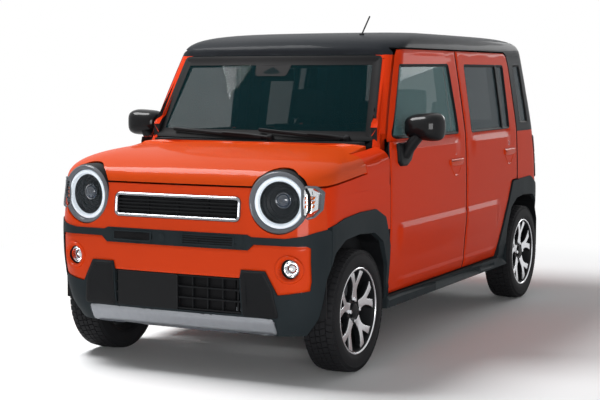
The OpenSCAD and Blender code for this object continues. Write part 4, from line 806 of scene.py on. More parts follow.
# %% Outlines and places
def rounded(corners, radius, steps=5):
    """An outline with its corners turned into arcs."""
    corners, out = np.array(corners, float), []
    for i, p in enumerate(corners):
        a, b = corners[i - 1] - p, corners[(i + 1) % len(corners)] - p
        la, lb = np.linalg.norm(a), np.linalg.norm(b)
        a, b = a / la, b / lb
        half = math.acos(np.clip(a @ b, -1, 1)) / 2
        cut = min(radius / math.tan(half), 0.49 * la, 0.49 * lb)
        start, end = p + a * cut, p + b * cut
        for t in np.linspace(0, 1, steps):
            out.append((1 - t) ** 2 * start + 2 * t * (1 - t) * p + t * t * end)
    return np.array(out)


def oblong(low, bottom, high, top, radius, steps=5):
    """A rectangle with round corners."""
    return rounded([(low, bottom), (high, bottom), (high, top), (low, top)], radius, steps)


def dense(outline, step=0.03):
    """An outline with more points along its sides."""
    out = []
    for a, b in zip(outline, np.roll(outline, -1, 0)):
        count = max(1, math.ceil(np.linalg.norm(b - a) / step))
        out.extend(a + (b - a) * i / count for i in range(count))
    return np.array(out)


def inset(outline, depth):
    """The same outline moved inwards, point by point."""
    outline = np.array(outline, float)
    before, after = outline - np.roll(outline, 1, 0), np.roll(outline, -1, 0) - outline
    area = (outline[:, 0] * np.roll(outline[:, 1], -1) - np.roll(outline[:, 0], -1) * outline[:, 1]).sum()
    turn = 1 if area > 0 else -1
    unit = lambda v: v / (np.linalg.norm(v, axis=1, keepdims=True) + 1e-12)
    normal = unit(before)[:, ::-1] * [-turn, turn] + unit(after)[:, ::-1] * [-turn, turn]
    normal = unit(normal)
    spread = (normal * unit(after)[:, ::-1] * [-turn, turn]).sum(1, keepdims=True)
    return outline + normal * depth / np.clip(spread, 0.4, 1)


def on_body(shape, outline, skin, view, layers, cap=True):
    """Lays an outline on the body and builds it up in layers of inset and height."""
    rows = []
    for depth, height in layers:
        places = [skin.seen(u, v, view) for u, v in inset(outline, depth)]
        rows.append([place + normal * height for place, normal in places])
    return shape.rows(rows, wrap=not cap, caps=(cap, cap))


def stuck(name, outline, skin, view, layers, finish, body, slot, replaces=(), smooth=38, cap=True):
    """An outline laid on the body as a piece of its own."""
    return on_body(Shape(), outline, skin, view, layers, cap).made(name, finish, body, slot, replaces, smooth)


def lathe(name, profile, place, segments, finish, body, slot, replaces=()):
    """A turned profile as a piece of its own."""
    return Shape().turned(profile, place, segments).made(name, finish, body, slot, replaces)


def axis_place(origin, way, up=(0, 0, 1)):
    """A place whose Z axis points along a way."""
    w = Vector(way).normalized()
    u = Vector(up).cross(w).normalized()
    place = Matrix((u, w.cross(u), w)).transposed().to_4x4()
    place.translation = Vector(origin)
    return place


def circle(centre, radius, count=48):
    a = around(count)
    return np.stack([centre[0] + radius * np.cos(a), centre[1] + radius * np.sin(a)], 1)


def bulge(radius, base, rise, count):
    """A quarter of an ellipse from its rim to its top, as a profile."""
    return [(radius * math.cos(a), base + rise * math.sin(a)) for a in np.linspace(0, math.pi / 2, count)]


def on_side(outline, sign):
    """An outline of the left side, or the same one on the right."""
    return np.array(outline) * [sign, 1]


print("outline helpers ready")

# %% [markdown]
# Headlamps
# A real round lamp is a painted trim ring, a pale ring that glows faintly as a painted highlight,
# a dark bowl with a projector lens, and a clear dome over all of it. Each is a profile turned about
# the lamp's axis, so that they catch the light as separate steps.

# %% Headlamps
LAMP = (0.517, -1.6395, 0.820)
LAMP_TOE = math.radians(9)
BUCKET = mm("134 -130, 144.5 -130, 144.5 0, 141.5 6, 134 4")
BEZEL = mm("117.5 -12, 139 -12, 140.5 8, 139 16.5, 134.5 21, 129 19.5, 121.5 12.5, 118 6")
LAMP_RING = mm("93 -20, 116.5 -20, 116.5 4, 114 9, 108 11.5, 101 9, 95 2")
BOWL = mm("0 -56, 40 -55, 60 -50, 62 -45, 76 -40, 78 -33, 88.5 -26, 90.5 -16, 94.5 -4, 96.5 -10, 96.5 -62, "
          "0 -62")
COLLAR = mm("33 -58, 40 -58, 40 -34, 37 -28, 33 -31")
BALL = mm("0 -58, 33.5 -58") + bulge(0.0335, -0.031, 0.020, 8)
DOME = bulge(0.1150, 0.003, 0.020, 10) + bulge(0.1130, 0.001, 0.019, 10)[::-1]
EAR_GAP, BULB_OFF = 27.0, 0.008
for name, sign in SIDES.items():
    axis = Vector((sign * math.sin(LAMP_TOE), -math.cos(LAMP_TOE), 0))
    lamp = axis_place((sign * LAMP[0], LAMP[1], LAMP[2]), axis)
    bulb = axis_place((sign * (LAMP[0] + BULB_OFF), LAMP[1], LAMP[2] + BULB_OFF), axis)
    lathe(f"headlamp_bucket_{name}", BUCKET, lamp, 64, DARK, "body", "dark_trim")
    start = EAR_GAP if sign > 0 else EAR_GAP - 180
    bezel = Shape().arc(BEZEL, lamp, start, start + 360 - 2 * EAR_GAP)
    bezel.made(f"headlamp_bezel_{name}", GREY, "body", "dark_trim", ("headlamps",))
    lathe(f"headlamp_ring_{name}", LAMP_RING, lamp, 96, RING_HIGHLIGHT_GLOW, "body", "lamp")
    lathe(f"headlamp_bowl_{name}", BOWL, lamp, 64, BOWL_BLACK, "body", "dark_trim")
    lathe(f"headlamp_collar_{name}", COLLAR, bulb, 48, CHROME, "body", "lamp")
    lathe(f"headlamp_projector_{name}", BALL, bulb, 48, PROJECTOR, "body", "lamp")
    lathe(f"headlamp_lens_{name}", DOME, lamp, 96, LENS, "body", "clear_glass")
print("headlamps made")

# %% [markdown]
# Turn lamps
# The turn lamp is a small box that breaks the headlamp's trim ring and runs round
# the corner. Its face starts in the plane of the lamp and ends on the body, so
# LampFace blends the two.

# %% Turn lamps
EAR_SKIN = Skin(lower_rings(-5 * MM))


class LampFace:
    """Where the turn lamp's face is, seen from the front, which is its only view."""

    def seen(self, x, z, view):
        sign, reach = math.copysign(1, x), abs(x) - LAMP[0]
        axis = np.array([sign * math.sin(LAMP_TOE), -math.cos(LAMP_TOE), 0])
        flat = np.array([x, LAMP[1] + reach * math.tan(LAMP_TOE), z]) + axis * 0.010
        body, normal = EAR_SKIN.seen(x, z, view)
        share = float(soft(reach, 0.118, 0.172))
        normal = axis * (1 - share) + normal * share
        return flat * (1 - share) + body * share, normal / np.linalg.norm(normal)


EAR = rounded(mm("622 764, 622 881, 644 896, 675 893, 698 867, 698 791, 675 758, 644 750"), 0.014)
RIM = mm("-3 -30, -3 2, 0 5, 4 5, 7 1, 7 -14")
EAR_BACK = mm("4 -30, 4 -12, 12 -14, 20 -15")
EAR_LENS = mm("6.5 -4, 6.5 1, 10 3.5, 18 4.5")
FLAKE = np.array(mm("-5 -8, 3 -5, 6 8, -2 5"))
FLAKE_LAYERS = mm("0 -16, 0 -10, 1.5 -8")
FLAKE_START, FLAKE_STEP = np.array([0.636, 0.806]), np.array([0.012, 0.019])
ear_face = LampFace()
for name, sign in SIDES.items():
    outline = on_side(dense(EAR, 0.02), sign)
    stuck(f"turn_lamp_rim_{name}", outline, ear_face, "front", RIM, GREY, "body", "dark_trim", cap=False)
    stuck(f"turn_lamp_box_{name}", outline, ear_face, "front", EAR_BACK, CHROME, "body", "lamp",
          ("turn_lamps",))
    stuck(f"turn_lamp_lens_{name}", outline, ear_face, "front", EAR_LENS, LENS, "body", "clear_glass")
    flakes = Shape()
    for column in range(4):
        for line in range(3):
            flake = FLAKE + FLAKE_START + FLAKE_STEP * [column, line]
            on_body(flakes, on_side(flake, sign), ear_face, "front", FLAKE_LAYERS)
    flakes.made(f"turn_lamp_amber_{name}", AMBER, "body", "lamp", smooth=10)
print("turn lamps made")

# %% Fog lamps
FOG, FOG_DEPTH, FOG_RADIUS = (0.578, 0.527), 0.070, 0.066
FOG_RING = mm("0 -4, 1 3, 6 8.5, 12 9, 18 4.5, 21 -4, 21 -36, 0 -36")
FOG_BOWL = mm("0 -20, 20 -16, 31 -4, 36 12, 40 14, 44.5 10, 44.5 -28, 0 -28")
FOG_LENS = bulge(0.0355, 0.009, 0.012, 8) + bulge(0.0335, 0.006, 0.011, 8)[::-1]
FOG_CELL = mm("47.5 -30, 47.5 26, 42 26, 37.5 16, 44 12, 45 -30")
for name, sign in SIDES.items():
    fog = axis_place((sign * FOG[0], NOSE + FOG_DEPTH, FOG[1]), (0, -1, 0))
    rim_line = circle((sign * FOG[0], FOG[1]), FOG_RADIUS)
    stuck(f"fog_ring_{name}", rim_line, LOWER_SKIN, "front", FOG_RING, ORANGE, "body", "paint", cap=False)
    lathe(f"fog_bowl_{name}", FOG_BOWL, fog, 48, CHROME, "body", "lamp", ("fog_lamps",))
    lathe(f"fog_lens_{name}", FOG_LENS, fog, 48, LENS, "body", "clear_glass")
    lathe(f"fog_cell_{name}", FOG_CELL, fog, 48, DARK, "body", "dark_trim")
print("fog lamps made")

# %% [markdown]
# Front trim
# The grille frame, the louvred slot below it, the uprights and the plate are
# outlines laid on the nose. The grille's middle and the plate are bare.

# %% Grille, slot, uprights and plate
FRAME = oblong(-0.338, 0.727, 0.338, 0.841, 0.030, 8)
FRAME_LAYERS = mm("18 -24, 18 2, 14.5 7.5, 9 10.5, 3 8, -1 1, -1 -6")
stuck("grille_frame_trim", dense(FRAME), LOWER_SKIN, "front", FRAME_LAYERS, SATIN, "body", "silver_trim",
      ("grille_frame",), cap=False)

SLOT_FLOOR = mm("0 -3, 0 0.6, 2 0.8")
SLOT_LIP = mm("-4 -3, -4 2, -1 4, 3 4, 5 0.5")
LOUVRE, LOUVRE_HALF = mm("0 -1, 0 2.5, 1 3.5"), 0.0022
BUTTON = mm("0 -4, 19 -4, 19 2, 15 4.8, 7 6, 0 6.2")
slot_parts, lips = Shape(), Shape()
for low, high in ((-0.345, -0.135), (0.035, 0.305)):
    opening = dense(oblong(low, 0.617, high, 0.661, 0.008))
    on_body(slot_parts, opening, SLOT_SKIN, "front", SLOT_FLOOR)
    on_body(lips, opening, SLOT_SKIN, "front", SLOT_LIP, False)
for z in (0.628, 0.639, 0.650):
    low, high = z - LOUVRE_HALF, z + LOUVRE_HALF
    louvre = dense(np.array([(0.038, low), (0.302, low), (0.302, high), (0.038, high)]))
    on_body(lips, louvre, SLOT_SKIN, "front", LOUVRE)
# Each opening's floor is a flat near-black sheet that stands for the shade deep in the slot: painted shade
slot_parts.made("slot_openings", BLACK_RUBBER_AND_SHADE, "body", "dark_trim")
# A near-black backing behind the lower opening stands for the shaded depth behind it: painted shade
back = Shape().slab(oblong(-0.300, 0.316, 0.300, 0.505, 0.004), mm("0 0, 0 6"),
                    axis_place((0, NOSE + 46.5 * MM, 0), (0, -1, 0)))
back.made("lower_grille_back", BLACK_RUBBER_AND_SHADE, "body", "dark_trim")
lips.turned(BUTTON, axis_place(SLOT_SKIN.seen(-0.075, 0.640, "front")[0], (0, -1, 0)), 32)
lips.made("slot_louvres", CLADDING, "body", "cladding")

UPRIGHT = rounded(mm("345 302, 345 508, 460 508, 500 434, 524 302"), 0.016)
UPRIGHT_LAYERS = mm("0 -6, 0 2, 2 4.4, 7 6.2, 14 6.8, 26 6.9")
uprights = Shape()
for sign in SIDES.values():
    on_body(uprights, on_side(dense(UPRIGHT, 0.02), sign), CLAD_FRONT, "front", UPRIGHT_LAYERS)
uprights.made("bumper_uprights", DARK, "body", "cladding")

PLATE = oblong(-0.323, 0.3085, 0.007, 0.4735, 0.010)
PLATE_LAYERS = mm("0 0, 0 4, 1 5.2, 4 5.6, 5.5 4.6, 7 4.6")
plate_place = Matrix(((1, 0, 0, 0), (0, 0, -1, NOSE + 0.020), (0, 1, 0, 0), (0, 0, 0, 1)))
Shape().slab(PLATE, PLATE_LAYERS, plate_place).made("blank_plate", GLOSS, "body", "dark_trim",
                                                    ("number_plate",))
print("front trim made")

# %% [markdown]
# Windscreen trim
# The screen has a black printed border, a dark field for a sensor at its upper edge,
# and two wipers that rest along its foot.

# %% Windscreen border and wipers
SCREEN = rounded(mm("-633 1063, -574 1482, 574 1482, 633 1063"), 0.026, 8)
BORDER = mm("0 0.2, 0 4.6, 14 4.6, 22 1.2, 46 1.2, 46 0.2")
HOUSING = rounded(mm("-90 1380, -110 1470, 110 1470, 90 1380"), 0.020)
border = Shape()
on_body(border, dense(SCREEN), SCREEN_SKIN, "front", BORDER, False)
on_body(border, dense(HOUSING), SCREEN_SKIN, "front", mm("0 0.1, 0 1"))
border.made("windscreen_border", BLACK_RUBBER_AND_SHADE, "body", "dark_trim")

WIPER_CAP = mm("0 -12, 17 -12, 17 10, 12 16, 0 17")
BLADE_LIFT, BLADE_DROP = 0.014, 0.004


def over_screen(spot, lift):
    """A place over the windscreen at a spot of the front view."""
    place, normal = SCREEN_SKIN.seen(*spot, "front")
    return place + normal * lift


wipers = Shape()
for pivot, tip, knee in (((0.10, 1.068), (-0.50, 1.100), 0.45), ((0.50, 1.068), (0.03, 1.105), 0.42)):
    pivot, tip = np.array(pivot), np.array(tip)
    root, bend = over_screen(pivot, 0.010), over_screen(between(pivot, tip, knee), 0.026)
    wipers.tube([root, (root + bend) / 2 + [0, -0.004, 0.004], bend], [0.010, 0.008, 0.006])
    heel = pivot - [0, BLADE_DROP]
    wipers.tube([over_screen(between(tip, heel, u), BLADE_LIFT) for u in np.linspace(0, 0.92, 12)], 0.0065,
                8, 1.4)
    wipers.turned(WIPER_CAP, axis_place(root, (0, -0.4, 1)), 24)
wipers.made("wipers", DARK, "body", "dark_trim")
print("windscreen trim made")

# %% [markdown]
# Wheels
# A tyre is a profile turned about the axle, and its tread is one short pitch of
# blocks that repeats all the way round. Spokes, nuts and the small ribs on the
# sidewall repeat in the same way. Copying them by hand would bake the count into
# the script, so one Geometry Nodes tree sets copies of any mesh round an axle.

# %% Ring of copies
def ring_tree():
    """Copies of the incoming mesh, turned about the X axis of a centre."""
    tree = bpy.data.node_groups.new("ring_of_copies", "GeometryNodeTree")
    for label, kind in (("Geometry", "NodeSocketGeometry"), ("Count", "NodeSocketInt"),
                        ("Centre", "NodeSocketVector"), ("Finish", "NodeSocketMaterial")):
        tree.interface.new_socket(label, in_out="INPUT", socket_type=kind)
    tree.interface.new_socket("Geometry", in_out="OUTPUT", socket_type="NodeSocketGeometry")

    def add(kind, inputs=(), **settings):
        node = tree.nodes.new(kind)
        for key, value in settings.items():
            setattr(node, key, value)
        for key, value in dict(inputs).items():
            if isinstance(value, bpy.types.NodeSocket):
                tree.links.new(value, node.inputs[key])
            else:
                node.inputs[key].default_value = value
        return node

    given = add("NodeGroupInput").outputs
    step = add("ShaderNodeMath", {0: 2 * math.pi, 1: given["Count"]}, operation="DIVIDE")
    index = add("GeometryNodeInputIndex").outputs[0]
    angle = add("ShaderNodeMath", {0: index, 1: step.outputs[0]}, operation="MULTIPLY")
    turn = add("FunctionNodeEulerToRotation",
               {0: add("ShaderNodeCombineXYZ", {"X": angle.outputs[0]}).outputs[0]})
    points = add("GeometryNodePoints", {"Count": given["Count"], "Position": given["Centre"]})
    copies = add("GeometryNodeInstanceOnPoints",
                 {"Points": points.outputs[0], "Instance": given["Geometry"], "Rotation": turn.outputs[0]})
    solid = add("GeometryNodeRealizeInstances", {0: copies.outputs[0]})
    finish = add("GeometryNodeSetMaterial", {"Geometry": solid.outputs[0], "Material": given["Finish"]})
    add("NodeGroupOutput", {0: finish.outputs[0]})
    return tree


RING = ring_tree()


def ringed(name, shape, count, centre, finish, body, smooth=38):
    """One object of copies of a shape made about the origin, set round a centre."""
    obj = shape.made(name, finish, None, None, smooth=smooth)
    maker = obj.modifiers.new("ring", "NODES")
    maker.node_group = RING
    sockets = {s.name: s.identifier for s in RING.interface.items_tree if s.in_out == "INPUT"}
    maker[sockets["Count"]] = count
    maker[sockets["Centre"]] = centre
    maker[sockets["Finish"]] = finish.material
    ready = obj.evaluated_get(bpy.context.evaluated_depsgraph_get())
    mesh = bpy.data.meshes.new_from_object(ready)
    obj.modifiers.clear()
    obj.data = mesh
    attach(obj, body)
    return obj


print("ring tree:", len(RING.nodes), "nodes")

# %% Tyre and rim forms
TYRE_R, TREAD_R = 0.2893, 0.2822
WALL = mm("191.5 60, 196.5 73.5, 206 77.2, 207.5 79.2, 211 79.2, 212.5 80.2, 230 82, 247 81.5, "
          "260 79.5, 261.2 80.6, 264 80, 265.2 78.2, 274.5 74.5, 280.5 69")
WALL += [(TREAD_R, 0.0600), (TREAD_R + 0.0006, 0.0)]
TYRE = WALL + [(r, -h) for r, h in WALL[-2::-1]]
LIP = mm("195 70, 198.5 72.2, 203 74.2, 203.6 76.5, 201 78, 196.5 77.2, 194.5 74.5")
BARREL = mm("195 70, 194.6 74, 190 71.5, 187.2 64, 185 54, 181 30, 176 0, 176 -30, 184 -55, 188 -72, "
            "201 -77.5, 203 -74.5, 190.5 -70, 190.5 66")
HUB = mm("30.5 0, 60 0, 69 10, 69 46, 66 50.5, 40 52, 36 50, 30.5 50")
CAP = mm("0 30, 33.5 30, 33.5 56, 31.5 59.2, 24 61.2, 0 62")
NUT = mm("10.5 40, 10.5 60, 8.5 63")
DISC = mm("32 -4, 32 -1, 72 -1, 74 -6, 126 -6, 127 -7, 127 -21, 126 -22, 74 -22, 72 -20, 50 -20, 48 -4")
DRUM = mm("32 -2, 90 -2, 105 -6, 108 -12, 108 -24, 102 -25, 101 -10, 32 -6")
Y_HALF = mm("26 52, 23 75, 21.5 96, 26.5 116, 40 139, 59 162, 74 176.5, 33 188.5, 21 166, 9.5 145")
Y_SPOKE = np.array(Y_HALF + [(0.0, 0.126)] + [(-u, v) for u, v in Y_HALF[::-1]])
SPOKE_LINE = dense(rounded(Y_SPOKE, 0.004, 3), 0.012)
SPOKE_BACK = mm("1 -26, 0 -4, 1.5 -1.2, 3 -1")
SPOKE_FACE = mm("0 -1.6, 0 0.6, 0.8 1.2, 2 1.3")
# half width, reach along the axle at the foot and the top of a sidewall rib, and radius at both
RIB = ((0.0025, 0.0790, 0.0745, 0.2665, 0.2742), (0.0014, 0.0803, 0.0760, 0.2668, 0.2740))
# ends of a tread block along the axle, slant, share of the pitch
BLOCKS = [((-0.0095, 0.0095), 0.0, 0.80), ((0.0135, 0.0400), 0.25, 0.84), ((-0.0400, -0.0135), 0.25, 0.84),
          ((0.0445, 0.0735), -0.10, 0.82), ((-0.0735, -0.0445), -0.10, 0.82)]


def dish(r):
    """How far out the spokes stand at a radius."""
    return 0.054 + 0.012 * float(soft(np.array(r), 0.070, 0.186))


def spoke(outline, layers, sign):
    """One spoke about the origin, in layers of inset and height over the dish, with the axle along X."""
    rows = [[(sign * (dish(math.hypot(u, v)) + h), u, v) for u, v in inset(outline, d)] for d, h in layers]
    return Shape().rows(rows, caps=(True, True))


def sidewall_rib(sign):
    rows = [[(sign * foot, -t, low), (sign * foot, t, low), (sign * top, t, high), (sign * top, -t, high)]
            for t, foot, top, low, high in RIB]
    return Shape().rows(rows, caps=(True, True))


def wheel_nut(sign):
    rows = [[(sign * h, r * math.cos(a), NUT_CIRCLE + r * math.sin(a)) for a in around(6)] for r, h in NUT]
    return Shape().rows(rows, caps=(True, True))


def tread_pitch(angle):
    """One pitch of the tread at the top of the wheel: three ribs and two shoulder blocks."""
    shape, wide = Shape(), angle * TYRE_R
    for (low, high), slant, share in BLOCKS:
        rows = []
        for grow, lift in ((0.0006, 0.0), (0.0006, 0.85), (-0.0006, 1.0)):
            row = []
            for side, h in ((-1, low - grow), (1, low - grow), (1, high + grow), (-1, high + grow)):
                t = side * (wide * share / 2 + grow) + slant * h
                crown = TYRE_R - 0.0050 * (abs(h) / 0.0735) ** 2.5
                base = TREAD_R - 0.0035 if abs(h) > 0.060 else TREAD_R - 0.001
                r = base + (crown - base) * lift
                row.append((h, r * math.sin(t / TYRE_R), r * math.cos(t / TYRE_R)))
            rows.append(row)
        shape.rows(rows, caps=(True, True))
    return shape


print("wheel forms ready")

# %% Wheels
PITCHES, RIBS, SPOKES, NUTS = 56, 112, 5, 4
TRACK_HALF, NUT_CIRCLE = 0.645, 0.050
for side, sign in SIDES.items():
    for row, y in (("front", FRONT_AXLE), ("rear", REAR_AXLE)):
        name, body, centre = f"{row}_{side}", f"wheel_{row}_{side}", (sign * TRACK_HALF, y, AXLE_HEIGHT)
        axle = axis_place(centre, (sign, 0, 0))
        lathe(f"tyre_carcass_{name}", TYRE, axle, 112, RUBBER, body, "rubber", (f"tyre_{name}",))
        ringed(f"tyre_tread_{name}", tread_pitch(2 * math.pi / PITCHES), PITCHES, centre, RUBBER, body)
        ringed(f"tyre_ribs_{name}", sidewall_rib(sign), RIBS, centre, RUBBER, body)
        lathe(f"rim_barrel_{name}", BARREL, axle, 96, DARK, body, "dark_trim", (f"rim_{name}",))
        lathe(f"rim_lip_{name}", LIP, axle, 112, ALLOY, body, "alloy")
        lathe(f"rim_hub_{name}", HUB, axle, 64, GLOSS, body, "dark_trim")
        lathe(f"rim_cap_{name}", CAP, axle, 48, DARK, body, "dark_trim")
        backs = spoke(inset(SPOKE_LINE, -0.0045), SPOKE_BACK, sign)
        faces = spoke(SPOKE_LINE, SPOKE_FACE, sign)
        ringed(f"spoke_backs_{name}", backs, SPOKES, centre, GLOSS, body)
        ringed(f"spoke_faces_{name}", faces, SPOKES, centre, ALLOY, body)
        ringed(f"wheel_nuts_{name}", wheel_nut(sign), NUTS, centre, CHROME, body, 20)
        if row == "front":
            lathe(f"brake_disc_{name}", DISC, axle, 72, STEEL, body, "steel")
        else:
            lathe(f"brake_drum_{name}", DRUM, axle, 72, IRON, body, "steel")
print("wheels: 4, each with", PITCHES, "tread pitches and", SPOKES, "spokes")

# %% [markdown]
# Side trim
# Each side window sits in a black rubber seal, and a black bar divides the window of
# the rear door. A seal is the window's outline laid on the pane, built up in layers
# until it meets the edge of the opening.

# %% Window seals
FRONT_WINDOW = rounded(mm("-807 1072, -600 1441, 53 1447, 80 1066"), 0.024)
REAR_WINDOW = rounded(mm("270 1066, 286 1447, 974 1447, 948 1066"), 0.022)
QUARTER_WINDOW = rounded(mm("1152 1092, 1164 1451, 1298 1451, 1322 1088"), 0.020)
TAIL_WINDOW = rounded(mm("-550.5 1080, -496.5 1481, 496.5 1481, 550.5 1080"), 0.045, 8)
SEAL_LAYERS = mm("0.4 -3, 0.4 7.8, 3 9.2, 9 7.5, 15 1.5, 15.5 -3")
BAR_LOW, BAR_LEAN, BAR_HALF = (0.809, 1.006), math.tan(math.radians(2)), 0.010
BAR_LAYERS = mm("0 -3, 0 8.5, 2 9.8, 4 10")
bar = np.array([(BAR_LOW[0] + (z - BAR_LOW[1]) * BAR_LEAN + d * BAR_HALF, z)
                for z, d in ((1.068, -1), (1.068, 1), (1.445, 1), (1.445, -1))])


def window_seal(name, outline, view, body):
    stuck(name, dense(outline), PANE_SKIN, view, SEAL_LAYERS, BLACK_RUBBER_AND_SHADE, body, "rubber", cap=False)


for side in SIDES:
    window_seal(f"front_window_seal_{side}", FRONT_WINDOW, side, f"door_front_{side}")
    window_seal(f"rear_window_seal_{side}", REAR_WINDOW, side, f"door_rear_{side}")
    window_seal(f"quarter_window_seal_{side}", QUARTER_WINDOW, side, "body")
    stuck(f"rear_window_bar_{side}", dense(bar), PANE_SKIN, side, BAR_LAYERS, BLACK_RUBBER_AND_SHADE, f"door_rear_{side}",
          "rubber")
window_seal("tail_window_seal", TAIL_WINDOW, "rear", "tailgate")
print("window seals made")

# %% [markdown]
# Windscreen pillars
# The pillar is a narrow strip between the windscreen and the door, bent round the
# corner of the cabin. Its two edges are known lines, so the strip is woven between
# them on the cabin's surface. A narrower strip goes on down the slope of the cowl.

# %% Windscreen pillars
def woven(edge_a, edge_b, skin, proud, depth, columns=8):
    """A strip between two lines of points, on a surface, with its edges turned in."""
    shape, rows = Shape(), []
    for a, b in zip(edge_a, edge_b):
        flat = [np.array(a) + (np.array(b) - np.array(a)) * u for u in np.linspace(0, 1, columns)]
        places, normals, _ = skin.nearest(flat)
        rise = proud * np.sin(np.linspace(0, math.pi, columns)) ** 0.4
        rows.append(list(places + normals * rise[:, None]) + list((places - normals * depth)[::-1]))
    return shape.rows(rows, caps=(True, True))


def on_line(line, z):
    """Where a straight side line is at a height."""
    (a, low), (b, high) = line
    return a + (b - a) * (z - low) / (high - low)


SCREEN_EDGE, PILLAR_WIDE = ((0.634, 1.060), (0.574, 1.487)), 41 * MM
PILLAR_FOOT, PILLAR_TOP, PILLAR_SHELF = 1.103, 1.4855, 0.985
PILLAR_PROUD, PILLAR_DEEP = 1.6 * MM, 4 * MM
# name, surface, lowest and highest place, rows, reach inwards and outwards of the screen's edge
STRIPS = (("screen_pillar", CABIN_SKIN, PILLAR_FOOT, PILLAR_TOP, 24, 7 * MM, PILLAR_WIDE),
          ("pillar_foot", COWL_SKIN, PILLAR_SHELF, PILLAR_FOOT - 2 * MM, 10, 10 * MM, 0.5 * PILLAR_WIDE))
for side, sign in SIDES.items():
    for name, skin, low, high, count, inwards, outwards in STRIPS:
        inner, outer = ([skin.seen(sign * (on_line(SCREEN_EDGE, z) + reach), z, "front")[0]
                         for z in np.linspace(low, high, count)] for reach in (-inwards, outwards))
        strip = woven(inner, outer, skin, PILLAR_PROUD, PILLAR_DEEP)
        strip.made(f"{name}_{side}", SHADED_PAINT, "body", "paint", smooth=60)
print("windscreen pillars made")

# %% [markdown]
# Door handles
# The handle is a wide lid over a cup that narrows downwards, with a round lock
# above. CAD cut the cup, so here it gets its soft lip, the lid its rolled lower
# edge, and the lock its plug.

# %% Door handles
HANDLES = {"front": (0.017, 0.902), "rear": (0.928, 0.916)}
LID = dense(rounded(mm("-106 32, 106 32, 92 -3, 40 -8, -40 -8, -92 -3"), 0.010), 0.012)
CUP = dense(rounded(mm("-92 4, 92 4, 24 -58, -24 -58"), 0.020), 0.012)
LID_LAYERS = mm("0 -6, 0 3.5, 2 6.8, 6 9, 12 9.8")
CUP_LIP = mm("-6 -1, -4.5 2, -1.5 3, 1 2.4, 3 0.5, 15 -10, 18 -10.8, 18 -12.2, -6 -12.2")
CUP_FLOOR = mm("12 -12, 12 -10.4, 16 -10.8, 19 -11")
LOCK = mm("0 -4, 12.5 -4, 12.5 0.8, 11 1.8, 9.5 1.2, 9 -0.6, 0 -0.6")
LOCK_OFF = (-0.004, 0.066)
# The lip and the lid take the glossier front copy of the paint so that they catch highlights, and the cup
# takes the shaded copy: painted highlight and shade on one paint
# name, outline, layers, finish, and whether both faces are closed
HANDLE_PARTS = (("lip", CUP, CUP_LIP, ORANGE, False), ("cup", CUP, CUP_FLOOR, SHADED_PAINT, True),
                ("lid", LID, LID_LAYERS, ORANGE, True))
for side in SIDES:
    for row, (y, z) in HANDLES.items():
        body = f"door_{row}_{side}"
        for part, outline, layers, finish, cap in HANDLE_PARTS:
            stuck(f"handle_{part}_{row}_{side}", outline + [y, z], LOWER_SKIN, side, layers, finish, body,
                  "paint", smooth=60, cap=cap)
        lock = axis_place(*LOWER_SKIN.seen(y + LOCK_OFF[0], z + LOCK_OFF[1], side))
        lathe(f"door_lock_{row}_{side}", LOCK, lock, 40, SATIN, body, "silver_trim")
print("door handles made")

# %% [markdown]
# Door mirrors
# The mirror's shell is a soft box that is full at its glass and closes towards the
# front. Each ring of it is a superellipse, and the rings shrink on a curve. The
# black arm stands on a foot at the corner of the window.

# %% Door mirrors
MIRROR, MIRROR_HALF, MIRROR_TURN, MIRROR_POWER = (0.816, -0.690, 1.130), (0.104, 0.068), -0.10, 3.4
SHELL = [(-0.062, 0.02), (-0.061, 0.22), (-0.057, 0.44), (-0.049, 0.64), (-0.036, 0.80), (-0.018, 0.91),
         (0.004, 0.97), (0.026, 1.0), (0.040, 0.995), (0.043, 0.975), (0.040, 0.945), (0.034, 0.935)]
MIRROR_GLASS = [(0.0335, 0.930), (0.0365, 0.930), (0.0372, 0.915)]
ARM = ((0.7300, -0.716, 0.985), (0.7480, -0.712, 1.020), (0.7700, -0.706, 1.054), (0.7950, -0.700, 1.084))
ARM_RADII, ARM_FLAT = [0.040, 0.042, 0.042, 0.040], 0.7
MIRROR_FOOT = rounded(mm("-802 1052, -794 958, -765 938, -700 936, -648 960, -600 1020, -580 1052"), 0.024)
MIRROR_FOOT_LAYERS = mm("0 -4, 0 10, 4 16, 14 20")


def soft_box(u, power):
    """A point of a superellipse at an angle."""
    c, s = math.cos(u), math.sin(u)
    return math.copysign(abs(c) ** (2 / power), c), math.copysign(abs(s) ** (2 / power), s)


def mirror_head(profile, sign):
    """Soft boxes of a profile's depths and sizes, turned a little towards the driver."""
    cos, sin, rows = math.cos(MIRROR_TURN), math.sin(MIRROR_TURN), []
    for y, share in profile:
        row = []
        for u in around(56):
            a, b = soft_box(u, MIRROR_POWER)
            x, z = a * share * MIRROR_HALF[0], b * share * MIRROR_HALF[1] * (1 + 0.10 * a)
            row.append((sign * (MIRROR[0] + x * cos - y * sin), MIRROR[1] + y * cos + x * sin, MIRROR[2] + z))
        rows.append(row)
    return Shape().rows(rows, caps=(True, True))


for side, sign in SIDES.items():
    body = f"door_front_{side}"
    mirror_head(SHELL, sign).made(f"mirror_shell_{side}", GLOSS, body, "dark_trim", (f"mirror_{side}",),
                                  smooth=60)
    mirror_head(MIRROR_GLASS, sign).made(f"mirror_glass_{side}", REFLECTOR, body, "silver_trim")
    arm = Shape().tube([(sign * x, y, z) for x, y, z in ARM], ARM_RADII, 24, ARM_FLAT)
    arm.made(f"mirror_arm_{side}", DARK, body, "dark_trim", smooth=60)
    stuck(f"mirror_foot_{side}", dense(MIRROR_FOOT, 0.02), LOWER_SKIN, side, MIRROR_FOOT_LAYERS, DARK, body,
          "dark_trim", smooth=60)
print("door mirrors made")

